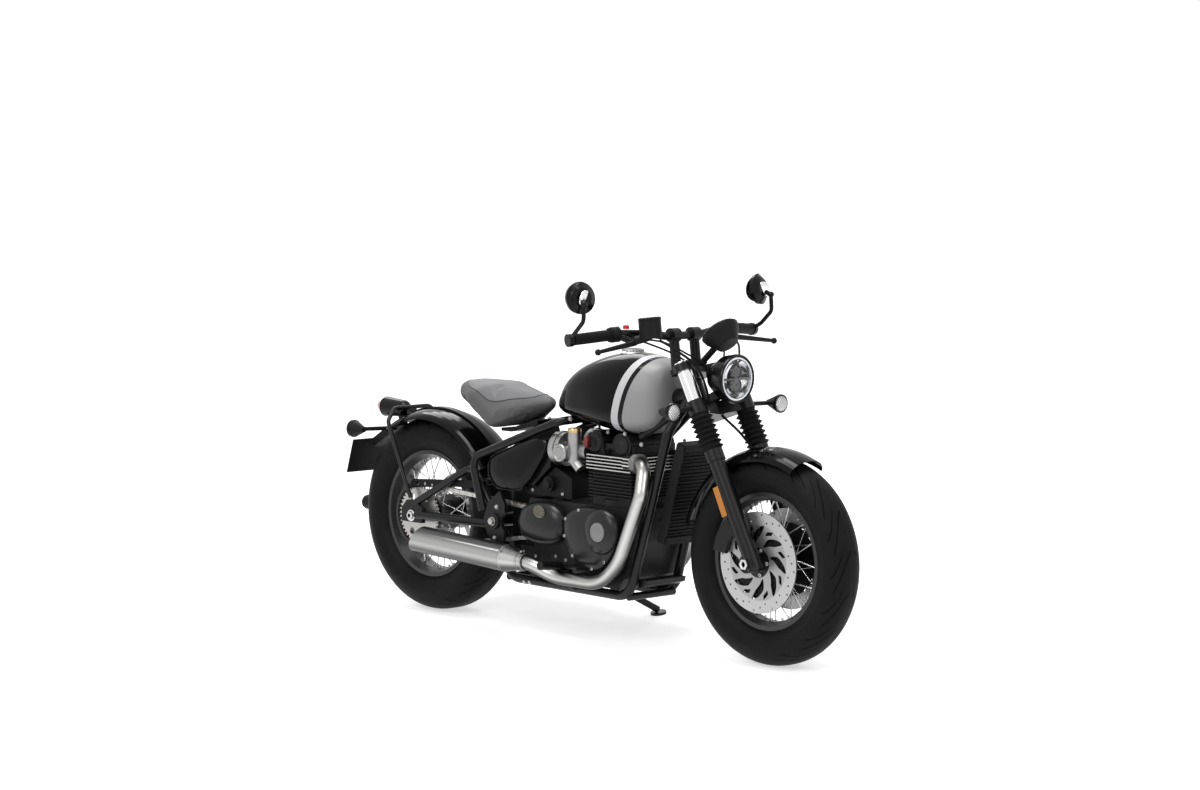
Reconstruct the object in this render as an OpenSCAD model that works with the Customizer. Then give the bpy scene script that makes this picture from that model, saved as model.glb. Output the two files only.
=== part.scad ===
// Bobber motorcycle with a parallel twin engine, leaning on its side stand.
// Every piece is drawn upright, in millimetres, with X forward, Y to the left and Z up from the
// ground line, midway between the axles. stance() then leans the whole machine onto its stand.

/* [Stance] */
// Distance between the two axles
wheelbase = 1500; // [1480:5:1530]
// Lean of the parked machine to its left, in degrees
lean = 10; // [9:0.5:11]
// Rake of the steering axis from the vertical, in degrees
rake = 28; // [27:0.5:29]
// Distance on the ground from the steering axis back to the front axle
trail = 92; // [85:1:98]

/* [Wheels] */
// Outer radius of the front tyre
front_tyre_r = 320; // [316:1:324]
// Width of the front tyre
front_tyre_w = 130; // [120:1:134]
// Outer radius of the rear tyre
rear_tyre_r = 322; // [318:1:326]
// Width of the rear tyre
rear_tyre_w = 150; // [140:1:154]
// Radius of the rim's flanges, on which the tyre's beads sit
rim_r = 211; // [208:1:214]
// Inner width of the front rim between its flanges
front_rim_w = 64; // [60:1:68]
// Inner width of the rear rim between its flanges
rear_rim_w = 89; // [84:1:94]
// Number of spokes in each wheel
spokes = 32; // [24:8:40]
// Diameter of a spoke
spoke_d = 4; // [3.5:0.5:5]
// Diameter of both wheel axles
axle_d = 25; // [22:1:28]
// Bore through the front axle
front_axle_bore_d = 16; // [12:1:18]
// Bore through the rear axle
rear_axle_bore_d = 14; // [10:1:16]

/* [Brakes and drive] */
// Diameter of the two front brake discs
front_disc_d = 310; // [300:2:316]
// Diameter of the rear brake disc
rear_disc_d = 255; // [240:1:260]
// Thickness of the brake discs
disc_t = 5; // [4:0.5:6]
// Distance from the middle plane to the middle of each front disc
front_disc_y = 69; // [66:0.5:71]
// Distance from the middle plane to the middle of the rear disc
rear_disc_y = 88; // [84:0.5:92]
// Distance from the middle plane to the middle of the chain
chain_y = 96; // [94:0.5:99]
// Pitch of the drive chain
chain_pitch = 15.875; // [15.875]
// Teeth on the rear sprocket
rear_teeth = 42; // [40:1:44]
// Teeth on the gearbox sprocket
front_teeth = 17; // [16:1:18]

/* [Fork and steering] */
// Half the distance between the fork legs
fork_y = 103; // [102:0.5:106]
// Distance of the fork legs in front of the steering axis
fork_offset = 78; // [74:1:82]
// Diameter of the fork's chromed tubes
fork_tube_d = 47; // [43:1:49]
// Diameter of the fork's lower sliders
slider_d = 52; // [50:0.5:52]
// Diameter of the rubber gaiters over their folds
gaiter_d = 74; // [70:1:78]
// Number of folds in each gaiter
gaiter_folds = 7; // [5:1:9]
// Diameter of the handlebar
bar_d = 25; // [22:1:26]
// Half the width of the handlebar over its ends
bar_half_w = 400; // [380:5:415]
// Diameter of the headlight over its ring
headlight_d = 150; // [140:1:158]

/* [Frame] */
// Outer diameter of the frame's down tubes and lower rails
down_tube_d = 30; // [28:1:32]
// Outer diameter of the frame's rear side tubes and of the swingarm's tubes
side_tube_d = 27; // [25:1:28]
// Outer diameter of the backbone
backbone_d = 50; // [46:1:54]
// Height of the lower rails' middle above the ground
rail_z = 157; // [152:1:162]
// Half the distance between the swingarm's tubes
swingarm_y = 124; // [122:0.5:126]

/* [Engine] */
// Half the width of the crankcase
case_half_w = 112; // [106:1:116]
// Distance between two cooling fins from middle to middle
fin_pitch = 10.5; // [10:0.25:11.5]
// Thickness of a cooling fin
fin_t = 3.5; // [3:0.25:4.5]
// Diameter of the header pipes
header_d = 43; // [40:1:45]
// Diameter of the silencers
silencer_d = 88; // [84:1:92]

/* [Body] */
// Half the width of the tank at its widest
tank_half_w = 130; // [122:1:136]
// Height of the top of the tank
tank_top_z = 918; // [908:1:926]
// Half the width of the seat
seat_half_w = 128; // [118:1:136]
// Thickness of the mudguards' sheet
guard_t = 3; // [2:0.5:4]
// Diameter of the mirror heads
mirror_d = 100; // [94:1:104]
// Diameter of the indicators' lenses
indicator_d = 58; // [54:1:62]

/* [Hidden] */
$fn = 48;
// Running clearance between a turning piece and what it turns on
run = 0.06;
// Clearance between pieces that sit against each other
fit = 0.3;
// Clearance between a moving piece and what it passes
clear = 5;
// Each straight stretch of a bent tube is this much thicker than its bends, and reaches this far into them
sleeve = 0.12;
lap = 1;
mid_x = wheelbase / 2;
// The front tyre is narrower, so at the same lean its axle sits this much lower
front_drop = 1.6;
front_axle = [mid_x, 0, front_tyre_r - front_drop];
rear_axle = [-mid_x, 0, rear_tyre_r];
shift_x = 29.5;
shift_y = -192;
lift = 3.6;

function unit(v) = v / norm(v);
function mirrored(path) = [for (p = path) [p.x, -p.y, p.z]];

// The machine on its stand: leaned to its left, with its middle over the origin
module stance() {
    translate([shift_x, shift_y, lift]) rotate([-lean, 0, 0]) children();
}

// Children on both sides of the middle plane
module both_sides() {
    children();
    mirror([0, 1, 0]) children();
}

// Children turned so that their Z axis runs from a to b, starting at a
module along(a, b) {
    d = b - a;
    translate(a) rotate([0, acos(d.z / norm(d)), atan2(d.y, d.x)]) children();
}

// Straight bar of radius r from a to b
module rod(a, b, r) {
    along(a, b) cylinder(h = norm(b - a), r = r);
}

// Tapered bar from a to b
module taper(a, b, ra, rb) {
    along(a, b) cylinder(h = norm(b - a), r1 = ra, r2 = rb);
}

// Bar of radius r with its axis along Y, between two widths
module cross_bar(x, z, y0, y1, r) {
    translate([x, y1, z]) rotate([90, 0, 0]) cylinder(h = y1 - y0, r = r);
}

// Round tube along a path of corners, each bent at the radius bend
module pipe(path, bend, r) {
    last = len(path) - 1;
    u = [for (i = [0:last - 1]) unit(path[i + 1] - path[i])];
    turn = [for (i = [1:last - 1]) acos(min(1, u[i - 1] * u[i]))];
    cut = [0, for (a = turn) bend * tan(a / 2) - lap, 0];
    for (i = [0:last - 1])
        rod(path[i] + u[i] * cut[i], path[i + 1] - u[i] * cut[i + 1], r + sleeve);
    for (i = [1:last - 1]) {
        start = path[i] - u[i - 1] * (cut[i] + lap);
        inward = unit(u[i] - u[i - 1] * (u[i - 1] * u[i]));
        side = cross(-inward, u[i - 1]);
        centre = start + inward * bend;
        multmatrix([
            [-inward.x, u[i - 1].x, side.x, centre.x],
            [-inward.y, u[i - 1].y, side.y, centre.y],
            [-inward.z, u[i - 1].z, side.z, centre.z],
            [0, 0, 0, 1]
        ])
            rotate_extrude(angle = turn[i - 1]) translate([bend, 0]) circle(r = r);
    }
}

// Flat outline in side view, points as [x, z], standing between two widths
module side_slab(outline, y0, y1) {
    translate([0, y1, 0]) rotate([90, 0, 0]) linear_extrude(y1 - y0) polygon(outline);
}

// Ring outline in an axle's frame, turned about the Y axis at the axle
module about_axle(axle) {
    translate(axle) rotate([90, 0, 0]) children();
}

// Steering frame: origin where the steering axis meets the ground, Z up along the axis
module steering_frame() {
    translate([mid_x + trail, 0, 0]) rotate([0, -rake, 0]) children();
}

// Point of the steering frame, given in the machine's frame
function steer(x, y, z) = [
    mid_x + trail + x * cos(rake) - z * sin(rake), y, x * sin(rake) + z * cos(rake)
];

// Wheels

// Half of a tyre's round section: beads between the flanges and two equal tread arcs
module tyre(r, w, rim_w) {
    bead_r = rim_r - 8;
    arc_r = (r - bead_r) / 2;
    mid_r = r - arc_r;
    spread = w / 2 - arc_r;
    rotate_extrude($fn = 96) difference() {
        union() {
            for (s = [-1, 1]) translate([mid_r, s * spread]) circle(r = arc_r, $fn = 64);
            translate([mid_r - arc_r, -spread]) square([2 * arc_r, 2 * spread]);
        }
        translate([0, -w]) square([bead_r + fit, 2 * w]);
        for (s = [-1, 1]) translate([0, s > 0 ? rim_w / 2 - fit : -w - rim_w / 2 + fit])
            square([rim_r + fit, w]);
    }
}

// Rim section: flanges, bead seats and a dropped well
module rim(rim_w) {
    flange_t = 5;
    seat_r = rim_r - 8;
    well_r = rim_r - 22;
    well_w = rim_w * 0.42;
    half = rim_w / 2;
    rotate_extrude($fn = 96) polygon([
        [seat_r, -half], [rim_r, -half], [rim_r, -half - flange_t], [seat_r - flange_t, -half - flange_t],
        [well_r - 4, -well_w / 2 - 4], [well_r - 4, well_w / 2 + 4], [seat_r - flange_t, half + flange_t],
        [rim_r, half + flange_t], [rim_r, half], [seat_r, half], [well_r, well_w / 2], [well_r, -well_w / 2]
    ]);
}

// Crossed spokes from the hub's two flanges to the rim
module spoke_set(rim_w, flange_y, flange_r) {
    pairs = spokes / 4;
    step = 360 / pairs;
    rim_end_r = rim_r - 20;
    cross_angle = 58;
    for (s = [-1, 1], lead = [-1, 1], i = [0:pairs - 1]) {
        hub_a = i * step + lead * 7 + s * step / 4;
        rim_a = hub_a + lead * cross_angle - lead * 7;
        y0 = s * (flange_y + lead * 2.6);
        rod(
            [flange_r * cos(hub_a), flange_r * sin(hub_a), y0],
            [rim_end_r * cos(rim_a), rim_end_r * sin(rim_a), s * rim_w * 0.12],
            spoke_d / 2
        );
    }
}

// Wheel without its tyre: rim, spokes and a hub bored for the axle
module wheel_core(rim_w, hub_half, flange_y, flange_r) {
    difference() {
        union() {
            rim(rim_w);
            spoke_set(rim_w, flange_y, flange_r - 5);
            cylinder(h = 2 * hub_half, r = flange_r * 0.62, center = true);
            for (s = [-1, 1]) translate([0, 0, s * flange_y])
                cylinder(h = 12, r = flange_r, center = true);
        }
        cylinder(h = 4 * hub_half, r = axle_d / 2 + run, center = true);
    }
}

front_hub_half = front_disc_y - disc_t / 2;
rear_hub_half = 70;

module front_tyre() {
    color("#1c1c1d") about_axle(front_axle) tyre(front_tyre_r, front_tyre_w, front_rim_w);
}

module rear_tyre() {
    color("#1c1c1d") about_axle(rear_axle) tyre(rear_tyre_r, rear_tyre_w, rear_rim_w);
}

module front_rim() {
    color("#27282a") about_axle(front_axle) wheel_core(front_rim_w, front_hub_half, 38, 48);
}

module rear_rim() {
    color("#27282a") about_axle(rear_axle) wheel_core(rear_rim_w, rear_hub_half, 42, 58);
}

// Brake disc: a drilled ring on a carrier with arms
module disc(d, inner_d, hub_d, arms) {
    hole_step = 360 / (arms * 6);
    difference() {
        union() {
            difference() {
                cylinder(h = disc_t, d = d, center = true, $fn = 96);
                cylinder(h = 3 * disc_t, d = inner_d, center = true);
            }
            cylinder(h = disc_t, d = hub_d, center = true);
            for (i = [0:arms - 1]) rotate([0, 0, i * 360 / arms])
                translate([0, -9, -disc_t / 2]) cube([inner_d / 2 + 4, 18, disc_t]);
        }
        cylinder(h = 3 * disc_t, d = axle_d + 12, center = true);
        for (i = [0:arms * 6 - 1]) rotate([0, 0, i * hole_step])
            translate([inner_d / 2 + 10 + (i % 3) * 9, 0, 0])
                cylinder(h = 3 * disc_t, d = 6, center = true, $fn = 16);
    }
}

module front_discs() {
    color("#b9babc") for (s = [-1, 1]) translate([0, s * front_disc_y, 0]) about_axle(front_axle)
        disc(front_disc_d, 232, 84, 6);
}

module rear_disc() {
    color("#b9babc") translate([0, rear_disc_y, 0]) about_axle(rear_axle) disc(rear_disc_d, 178, 120, 6);
    // Carrier between the hub's end and the disc
    color("#27282a") translate([rear_axle.x, 0, rear_axle.z]) difference() {
        cross_bar(0, 0, rear_hub_half, rear_disc_y - disc_t / 2, 50);
        cross_bar(0, 0, rear_hub_half - 1, rear_disc_y + 9, axle_d / 2 + 6);
    }
}

rear_pitch_r = chain_pitch / 2 / sin(180 / rear_teeth);
front_pitch_r = chain_pitch / 2 / sin(180 / front_teeth);
roller_r = 5;
// The teeth stay this far inside the rollers, because the chain is one fixed loop
tooth_tip = rear_pitch_r - roller_r - clear - 0.8;

// Rear sprocket, its teeth cut by arcs between them
module rear_sprocket() {
    root = tooth_tip - 8;
    step = 360 / rear_teeth;
    profile = [for (i = [0:rear_teeth - 1], k = [[root, -0.4], [tooth_tip, -0.13], [tooth_tip, 0.13],
        [root, 0.4]])
        k[0] * [cos((i + k[1]) * step), sin((i + k[1]) * step)]];
    color("#8b8d90") about_axle(rear_axle) translate([0, 0, chain_y]) difference() {
        union() {
            translate([0, 0, -3.5]) linear_extrude(7) polygon(profile);
            translate([0, 0, rear_hub_half - chain_y]) cylinder(h = chain_y - rear_hub_half, r = 46);
        }
        cylinder(h = 4 * chain_y, r = axle_d / 2 + 6, center = true);
        for (i = [0:5]) rotate([0, 0, i * 60]) translate([67, 0, 0])
            cylinder(h = 20, r = 12, center = true);
    }
}

// Chassis

head_low = 862;
head_high = 950;
head_r = 31;
stem_r = 14;
down_tube_top = [411, -18, 799];
strut_r = 12;
shock_low = [-412, 0, 462];
shock_high = [-262, 0, 612];
side_y = swingarm_y + 20.5;
side_corner = [-447, -side_y, 540];

down_path = [
    down_tube_top, [385, -92, 686], [237, -101, rail_z], [-352, -70, rail_z], [-372, -70, 300]
];
side_path = [
    [-46, -12, 694], [-88, -104, 684], side_corner, [-392, -side_y, 372]
];

// Plate that carries the swingarm's pivot, with its front edge hollowed
module pivot_plate() {
    difference() {
        side_slab([[-312, 445], [-368, 400], [-386, 345], [-368, 300], [-330, 262], [-290, 250],
            [-286, 400]],
            -148, -136);
        cross_bar(-262, 345, -150, -130, 40);
    }
    cross_bar(-335, 345, -156, -148, 26);
}

// Head tube, backbone, side tubes and the struts between them, drawn grow thicker when it cuts
module main_tubes(grow = 0) {
    steering_frame() translate([0, 0, head_low - grow]) cylinder(h = head_high - head_low,
        r = head_r + grow);
    rod([388, 0, 800], [-70, 0, 690], backbone_d / 2 + grow);
    both_sides() rod([404, -24, 770], [242, -65, 658], strut_r + grow);
}

module frame() {
    color("#1b1c1e") difference() {
        union() {
            main_tubes();
            both_sides() pipe(side_path, 45, side_tube_d / 2);
            cross_bar(shock_high.x, shock_high.z, -118, 118, 11);
            both_sides() pivot_plate();
        }
        steering_frame() translate([0, 0, head_low - 40]) cylinder(h = 200, r = stem_r + run);
    }
}

// Cradle under the engine: down tubes and rails, their cross bars, and the side stand's lug
module cradle() {
    color("#1b1c1e") difference() {
        union() {
            both_sides() pipe(down_path, 70, down_tube_d / 2);
            both_sides() rod([-372, -70, 298], [-350, -142, 298], 10);
            cross_bar(232, rail_z, -101, 101, 12);
            cross_bar(-345, rail_z, -70, 70, 12);
            side_slab([[262, 186], [296, 198], [300, 214], [256, 214]], -86, 86);
            rod([stand_pivot.x, 88, rail_z - 4], stand_pivot - stand_axis * 21, 7);
            rod(stand_pivot - stand_axis * 23, stand_pivot - stand_axis * 13, 17);
            rod(stand_pivot - stand_axis * 14, stand_pivot + stand_axis * 14, stand_pin_r);
        }
        main_tubes(run);
        both_sides() cross_bar(-345, 298, -160, -136 + run, 40);
    }
}

swing_corner = [-474, -swingarm_y + 6, 508];
axle_end_y = 138;

// Swingarm built as a cage of tubes, with the rear axle clamped in its ends
module swingarm() {
    arm_r = side_tube_d / 2 - 1.5;
    color("#1b1c1e") difference() {
        both_sides() {
            rod([-345, -118, 330], [-735, -swingarm_y, 325], arm_r + 3);
            pipe([[-352, -116, 352], swing_corner, [-745, -swingarm_y, 362]], 34, arm_r);
            side_slab([[-700, 300], [-700, 345], [-730, 372], [-775, 372], [-800, 345], [-800, 300]],
                -swingarm_y - 9, -swingarm_y + 7);
        }
        swingarm_tubes(run);
        cross_bar(rear_axle.x, rear_axle.z, -200, 200, rear_axle_bore_d / 2);
    }
}

// Tubes across the swingarm: its pivot, the shock absorber's lower mount and the rear axle
module swingarm_tubes(grow = 0) {
    color("#1b1c1e") {
        cross_bar(-345, 345, -135.7 - grow, 135.7 + grow, 22 + grow);
        cross_bar(shock_low.x, shock_low.z, -114 - grow, 114 + grow, 12 + grow);
        difference() {
            cross_bar(rear_axle.x, rear_axle.z, -axle_end_y - grow, axle_end_y + grow, axle_d / 2 + grow);
            cross_bar(rear_axle.x, rear_axle.z, -200, 200, rear_axle_bore_d / 2);
        }
    }
}

// Hoop from the axle plates up over the mudguard
module mudguard_stay() {
    top_z = 664;
    side_y = 122;
    half = [[-768, -side_y, 379], [-884, -side_y, 624], [-902, -78, top_z]];
    color("#232426") {
        pipe(concat(half, mirrored([half[2], half[1], half[0]])), 30, 7);
        side_slab([[-908, 643], [-893, 651], [-896, 664], [-908, 662]], -16, 16);
    }
}

// Engine

module crankcase() {
    color("#2b2c2e") difference() {
        side_slab([[-240, 205], [-252, 330], [-205, 430], [45, 432], [262, 432], [262, 330], [226,
            215], [190, 178],
            [-180, 178]], -case_half_w, case_half_w);
        // Pocket for the gearbox sprocket and the chain's way out
        cross_bar(gearbox_out.x, gearbox_out.z, -case_half_w - 1, pocket_y, 58);
        translate([gearbox_out.x - 120, -case_half_w - 1, gearbox_out.z - 76])
            cube([120, case_half_w + 1 + pocket_y, 134]);
    }
}

gearbox_out = [-182, 0, 350];
pocket_y = -84;
barrel_z = 432;
barrel_fins = 8;
barrel_base = 30;
head_z = barrel_z + barrel_base + fin_pitch * barrel_fins;
head_fins = 5;
head_top_z = head_z + fin_pitch * head_fins + 8;

// One cooling fin: a plate with round corners
module fin(x0, x1, half_w, z) {
    r = 14;
    translate([0, 0, z]) linear_extrude(fin_t) {
        translate([x0 + r, -half_w]) square([x1 - x0 - 2 * r, 2 * half_w]);
        translate([x0, -half_w + r]) square([x1 - x0, 2 * half_w - 2 * r]);
        for (x = [x0 + r, x1 - r], s = [-1, 1]) translate([x, s * (half_w - r)]) circle(r = r);
    }
}

module cylinder_block() {
    color("#303134") {
        translate([66, -98, barrel_z]) cube([170, 196, head_z - barrel_z]);
        for (i = [0:barrel_fins - 1]) fin(50, 250, 112, barrel_z + barrel_base + i * fin_pitch);
        for (s = [-1, 1]) translate([150, s * 52, barrel_z]) cylinder(h = barrel_base - 6, r = 58);
    }
}

module cylinder_head() {
    color("#38393c") {
        translate([66, -98, head_z]) cube([170, 196, head_top_z - head_z]);
        for (i = [0:head_fins - 1]) fin(44, 254, 118, head_z + 3 + i * fin_pitch);
        both_sides() cross_port([222, -port_y, port_z], 26);
    }
}

// Exhaust port boss pointing forward
module cross_port(p, r) {
    translate(p) rotate([0, 90, 0]) cylinder(h = port_face - p.x, r = r);
}

// Cam cover with a round-backed housing over each camshaft
module cam_cover() {
    z0 = head_top_z;
    half_w = 98;
    color("#2f3033") {
        translate([34, -half_w + 6, z0]) cube([206, 2 * half_w - 12, 24]);
        difference() {
            for (x = [72, 190]) cross_bar(x, z0 + 22, -half_w, half_w, 40);
            translate([0, -2 * half_w, z0 - 60]) cube([300, 4 * half_w, 60]);
        }
    }
}

module clutch_cover() {
    color("#2b2c2e") {
        cross_bar(120, 330, -158, -case_half_w, 98);
        cross_bar(162, 360, -172, -158, 66);
        side_slab([[-16, 392], [52, 428], [168, 428], [232, 400], [228, 330], [180, 258], [120, 226],
            [20, 262],
            [-18, 330]], -148, -case_half_w);
    }
    color("#c8c8c6") cross_bar(162, 360, -176, -172, 30);
}

module alternator_cover() {
    color("#2b2c2e") {
        cross_bar(118, 320, case_half_w, 150, 88);
        cross_bar(118, 320, 150, 158, 58);
        side_slab([[-120, 300], [-110, 380], [-30, 420], [160, 420], [210, 356], [196, 262], [160,
            222], [-60, 250]],
            case_half_w, 134);
    }
    color("#c8c8c6") cross_bar(118, 320, 158, 162, 26);
}

module sprocket_cover() {
    color("#2b2c2e") {
        cross_bar(-182, 360, -150, -case_half_w, 60);
        cross_bar(-100, 372, -150, -case_half_w, 62);
        side_slab([[-238, 330], [-222, 300], [-150, 292], [-60, 290], [-24, 320], [-32, 390], [-70,
            428], [-170, 424],
            [-232, 392]], -146, -case_half_w);
        cross_bar(-118, 392, -160, -150, 46);
    }
}

module throttle_bodies() {
    color("#b5b5b1") both_sides() {
        translate([-108, -76, 596]) rotate([0, 90, 0]) cylinder(h = 40, r = 54);
        translate([-70, -76, 596]) rotate([0, 90, 0]) cylinder(h = 100, r = 30);
        translate([-14, -104, 560]) cylinder(h = 96, r = 22);
        cross_bar(-44, 590, -140, -100, 28);
        rod([-14, -104, 566], [12, -100, 540], 18);
    }
    color("#a98a4a") both_sides() translate([-14, -104, 656]) cylinder(h = 13, r = 20);
}

// Side covers under the seat, one on each side
module side_panels() {
    color("#141416") both_sides() side_slab([[-386, 520], [-370, 552], [-278, 590], [-160, 628],
        [-112, 612],
        [-132, 566], [-186, 494], [-240, 450], [-340, 447], [-384, 486]], -132, -116);
    // Airbox between the covers, behind the throttle bodies
    color("#1e1f21") side_slab([[-240, 500], [-236, 596], [-165, 628], [-109, 628], [-109, 540],
        [-190, 470]],
        -115.7, 115.7);
}

// Box for the battery and electrics, above the crankcase
module battery_box() {
    color("#1a1b1c") {
        side_slab([[-240, 440], [-240, 496], [-190, 466], [-108, 537], [-60, 520], [-30, 505], [-30, 440]],
            -98, 98);
        // Splash plate in front of the rear wheel, hung from the box
        side_slab([[-316, 446], [-316, 456], [-236, 456], [-236, 446]], -82, 82);
        side_slab([[-316, 215], [-316, 452], [-306, 452], [-306, 215]], -82, 90);
        cross_bar(-122, 482, -116, -98, 24);
        cross_bar(-122, 482, -124, -116, 15);
    }
}

port_y = 104;
port_z = 579;
port_face = 258;
silencer_front = [-148, -190, 236];
silencer_rear = [-640, -196, 260];

module exhaust_pipes() {
    dir = unit(silencer_rear - silencer_front);
    color("#c9c9c7") both_sides() pipe([
        [port_face + 8, -port_y, port_z], [312, -port_y - 16, port_z + 4], [328, -150, 490],
        [234, -150, 266], [158, -152, 194.5], [-40, -160, 196], silencer_front - dir * 30, silencer_front + dir * 28
    ], 40, header_d / 2);
}

// Silencers with a coned front and a slanted rear cut
module silencers() {
    dir = unit(silencer_rear - silencer_front);
    cone_end = silencer_front + dir * 80;
    tip = silencer_rear + dir * 60;
    color("#cfcfcd") both_sides() difference() {
        union() {
            taper(silencer_front, cone_end, header_d / 2 + 6, silencer_d / 2);
            rod(cone_end, tip, silencer_d / 2);
        }
        rod(silencer_front - dir * 40, silencer_front + dir * 30, header_d / 2 + sleeve + fit);
        rod(silencer_rear - dir * 50, tip + dir * 20, silencer_d / 2 - 14);
        // Slanted cut, its lower edge further forward
        translate(silencer_rear) rotate([0, 26, 0]) translate([-200, -100, -150]) cube([200, 200, 300]);
    }
}

// Radiator between the down tubes
module radiator() {
    low = [340, 0, 338];
    high = [424, 0, 655];
    slope = atan2(high.x - low.x, high.z - low.z);
    tall = norm(high - low);
    half_w = 78;
    fins = 24;
    color("#202124") translate(low) rotate([0, slope, 0]) {
        translate([-4, -half_w, 20]) cube([24, 2 * half_w, tall - 40]);
        for (z = [0, tall - 24]) translate([-10, -half_w, z]) cube([36, 2 * half_w, 24]);
        for (s = [-1, 1]) translate([-10, s > 0 ? half_w - 2 : -half_w - 4, 4]) cube([34, 6, tall - 8]);
        for (i = [0:fins - 1]) translate([20, -half_w, 30 + i * (tall - 60) / (fins - 1)])
            cube([4, 2 * half_w, 3]);
        // Lugs back to the down tubes
        for (s = [-1, 1], z = [60, tall - 60]) translate([-26, s > 0 ? half_w - 18 : -half_w + 6, z])
            cube([20, 12, 14]);
    }
}

// Body

// Cross-sections of the tank: [x, half width, low z, high z, corner radius]
tank_sections = [
    [294, 62, 706, 884, 40],
    [262, tank_half_w - 22, 676, 904, 56],
    [170, tank_half_w, 666, tank_top_z, 66],
    [16, tank_half_w - 14, 690, 880, 60],
    [-86, 92, 708, 800, 40],
    [-156, 44, 712, 754, 20]
];

cap_r = 34;

module tank_section(s) {
    for (side = [-1, 1]) {
        translate([s[0], side * (s[1] - s[4]), s[2] + s[4] * 0.6]) sphere(r = s[4] * 0.6, $fn = 16);
        translate([s[0], side * (s[1] - s[4]), (s[2] + s[3]) / 2]) sphere(r = s[4], $fn = 20);
        translate([s[0], side * (s[1] - s[4]) * 0.62, s[3] - s[4]]) sphere(r = s[4], $fn = 20);
    }
}

module fuel_tank() {
    spine = atan2(800 - 690, 388 + 70);
    color("#141416") difference() {
        for (i = [0:len(tank_sections) - 2]) hull() {
            tank_section(tank_sections[i]);
            tank_section(tank_sections[i + 1]);
        }
        // Tunnel over the backbone, with room beside it for the engine's upper mounts
        rod([470, 0, 819.7], [-240, 0, 649.2], backbone_d / 2 + 5);
        translate([-240, 0, 649.2]) rotate([0, -spine, 0]) translate([0, -25, -120]) cube([740, 50, 120]);
        translate([186, -72, 602]) cube([200, 144, 142]);
        // Hollows over the cam cover and the frame's side tubes
        translate([-20, -106, 600]) cube([282, 212, 104]);
        translate([-140, -128, 604]) cube([98, 256, 106]);
        translate([193, -100, 598]) cube([300, 200, 112]);
        translate([138, 0, tank_top_z - 22 - fit]) cylinder(h = 60, r = cap_r + fit);
    }
}

module fuel_cap() {
    color("#c8c8c8") translate([138, 0, tank_top_z - 22]) {
        cylinder(h = 24, r = cap_r);
        translate([0, 0, 24]) cylinder(h = 5, r1 = cap_r, r2 = cap_r - 6);
    }
}

seat_low_z = 638;

module seat_pad() {
    color("#8d8f92") hull() {
        translate([-229, 0, 726]) sphere(r = 22, $fn = 20);
        for (s = [-1, 1]) {
            translate([-395, s * (seat_half_w - 32), seat_low_z + 32]) sphere(r = 32, $fn = 20);
            translate([-480, s * (seat_half_w - 44), 724]) sphere(r = 40, $fn = 20);
            translate([-575, s * 34, 744]) sphere(r = 38, $fn = 20);
            translate([-440, s * 60, 740]) sphere(r = 40, $fn = 20);
        }
    }
}

module seat_pan() {
    top = seat_low_z - fit;
    color("#1b1c1e") difference() {
        union() {
            side_slab([[-398, top], [-360, top], [-240, top + 38], [-226, top + 36], [-232,
                top + 20], [-352, top - 10],
                [-398, top - 10]], -60, 60);
            side_slab([[-284, 622], [-284, 646], [-226, 664], [-226, 622]], -24, 24);
        }
        cross_bar(shock_high.x, shock_high.z, -60, 60, 21);
        translate([-330, -60, 560]) cube([160, 120, 44]);
    }
}

// Mudguard section: crown, rounded shoulders and side walls, as a closed outline
module guard_arc(crown_r, side_r, half_w, from_angle, to_angle) {
    steps = 8;
    rise = crown_r - side_r;
    function edge(off) = [for (i = [-steps:steps]) let(a = i / steps * 90)
        [side_r + (rise - off) * cos(a), (half_w - off) * sin(a)]];
    rotate([0, 0, from_angle]) rotate_extrude(angle = to_angle - from_angle, $fn = 96)
        polygon(concat(edge(0), [for (p = [len(edge(0)) - 1:-1:0]) edge(guard_t)[p]]));
}

front_guard_crown = front_tyre_r + 28;
rear_guard_crown = rear_tyre_r + 26;
rear_guard_from = 32;
rear_guard_to = 124;

module front_mudguard() {
    color("#18191b") {
        about_axle(front_axle) guard_arc(front_guard_crown, front_tyre_r - 14, 72, 66, 164);
        both_sides() side_slab([[596, 582], [640, 592], [640, 614], [600, 606]],
            -fork_y + slider_d / 2 + fit, -70);
    }
}

module rear_mudguard() {
    color("#18191b") about_axle(rear_axle) {
        guard_arc(rear_guard_crown, rear_tyre_r - 6, 90, rear_guard_from, rear_guard_to);
        rotate([0, 0, rear_guard_from]) rotate_extrude(angle = rear_guard_to - rear_guard_from, $fn = 96)
            translate([rear_guard_crown - 1, -14]) square([7, 28]);
    }
}

module tail_lamp() {
    color("#18191b") {
        translate([-944, 0, 656]) rotate([0, -90, 0]) cylinder(h = 84, r1 = 28, r2 = 34);
        translate([-944, 0, 656]) sphere(r = 28);
        side_slab([[-952, 616], [-930, 632], [-925, 650], [-960, 645]], -12, 12);
    }
}

module tail_lens() {
    color("#b5121b") translate([-1028 - fit, 0, 656]) rotate([0, -90, 0])
        cylinder(h = 26, r1 = 33, r2 = 20);
}

// Bullet indicator facing along +X, its lens at the origin
module indicator() {
    rotate([0, -90, 0]) cylinder(h = 50, r1 = indicator_d / 2, r2 = 9);
    rotate([0, 90, 0]) cylinder(h = 8, r1 = indicator_d / 2 - 2, r2 = indicator_d / 2 - 9);
}

module rear_indicators() {
    color("#18191b") both_sides() {
        translate([-1010, -160, 592]) mirror([1, 0, 0]) indicator();
        rod([-980, -152, 592], [-954, -24.4, 590], 7);
    }
}

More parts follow.
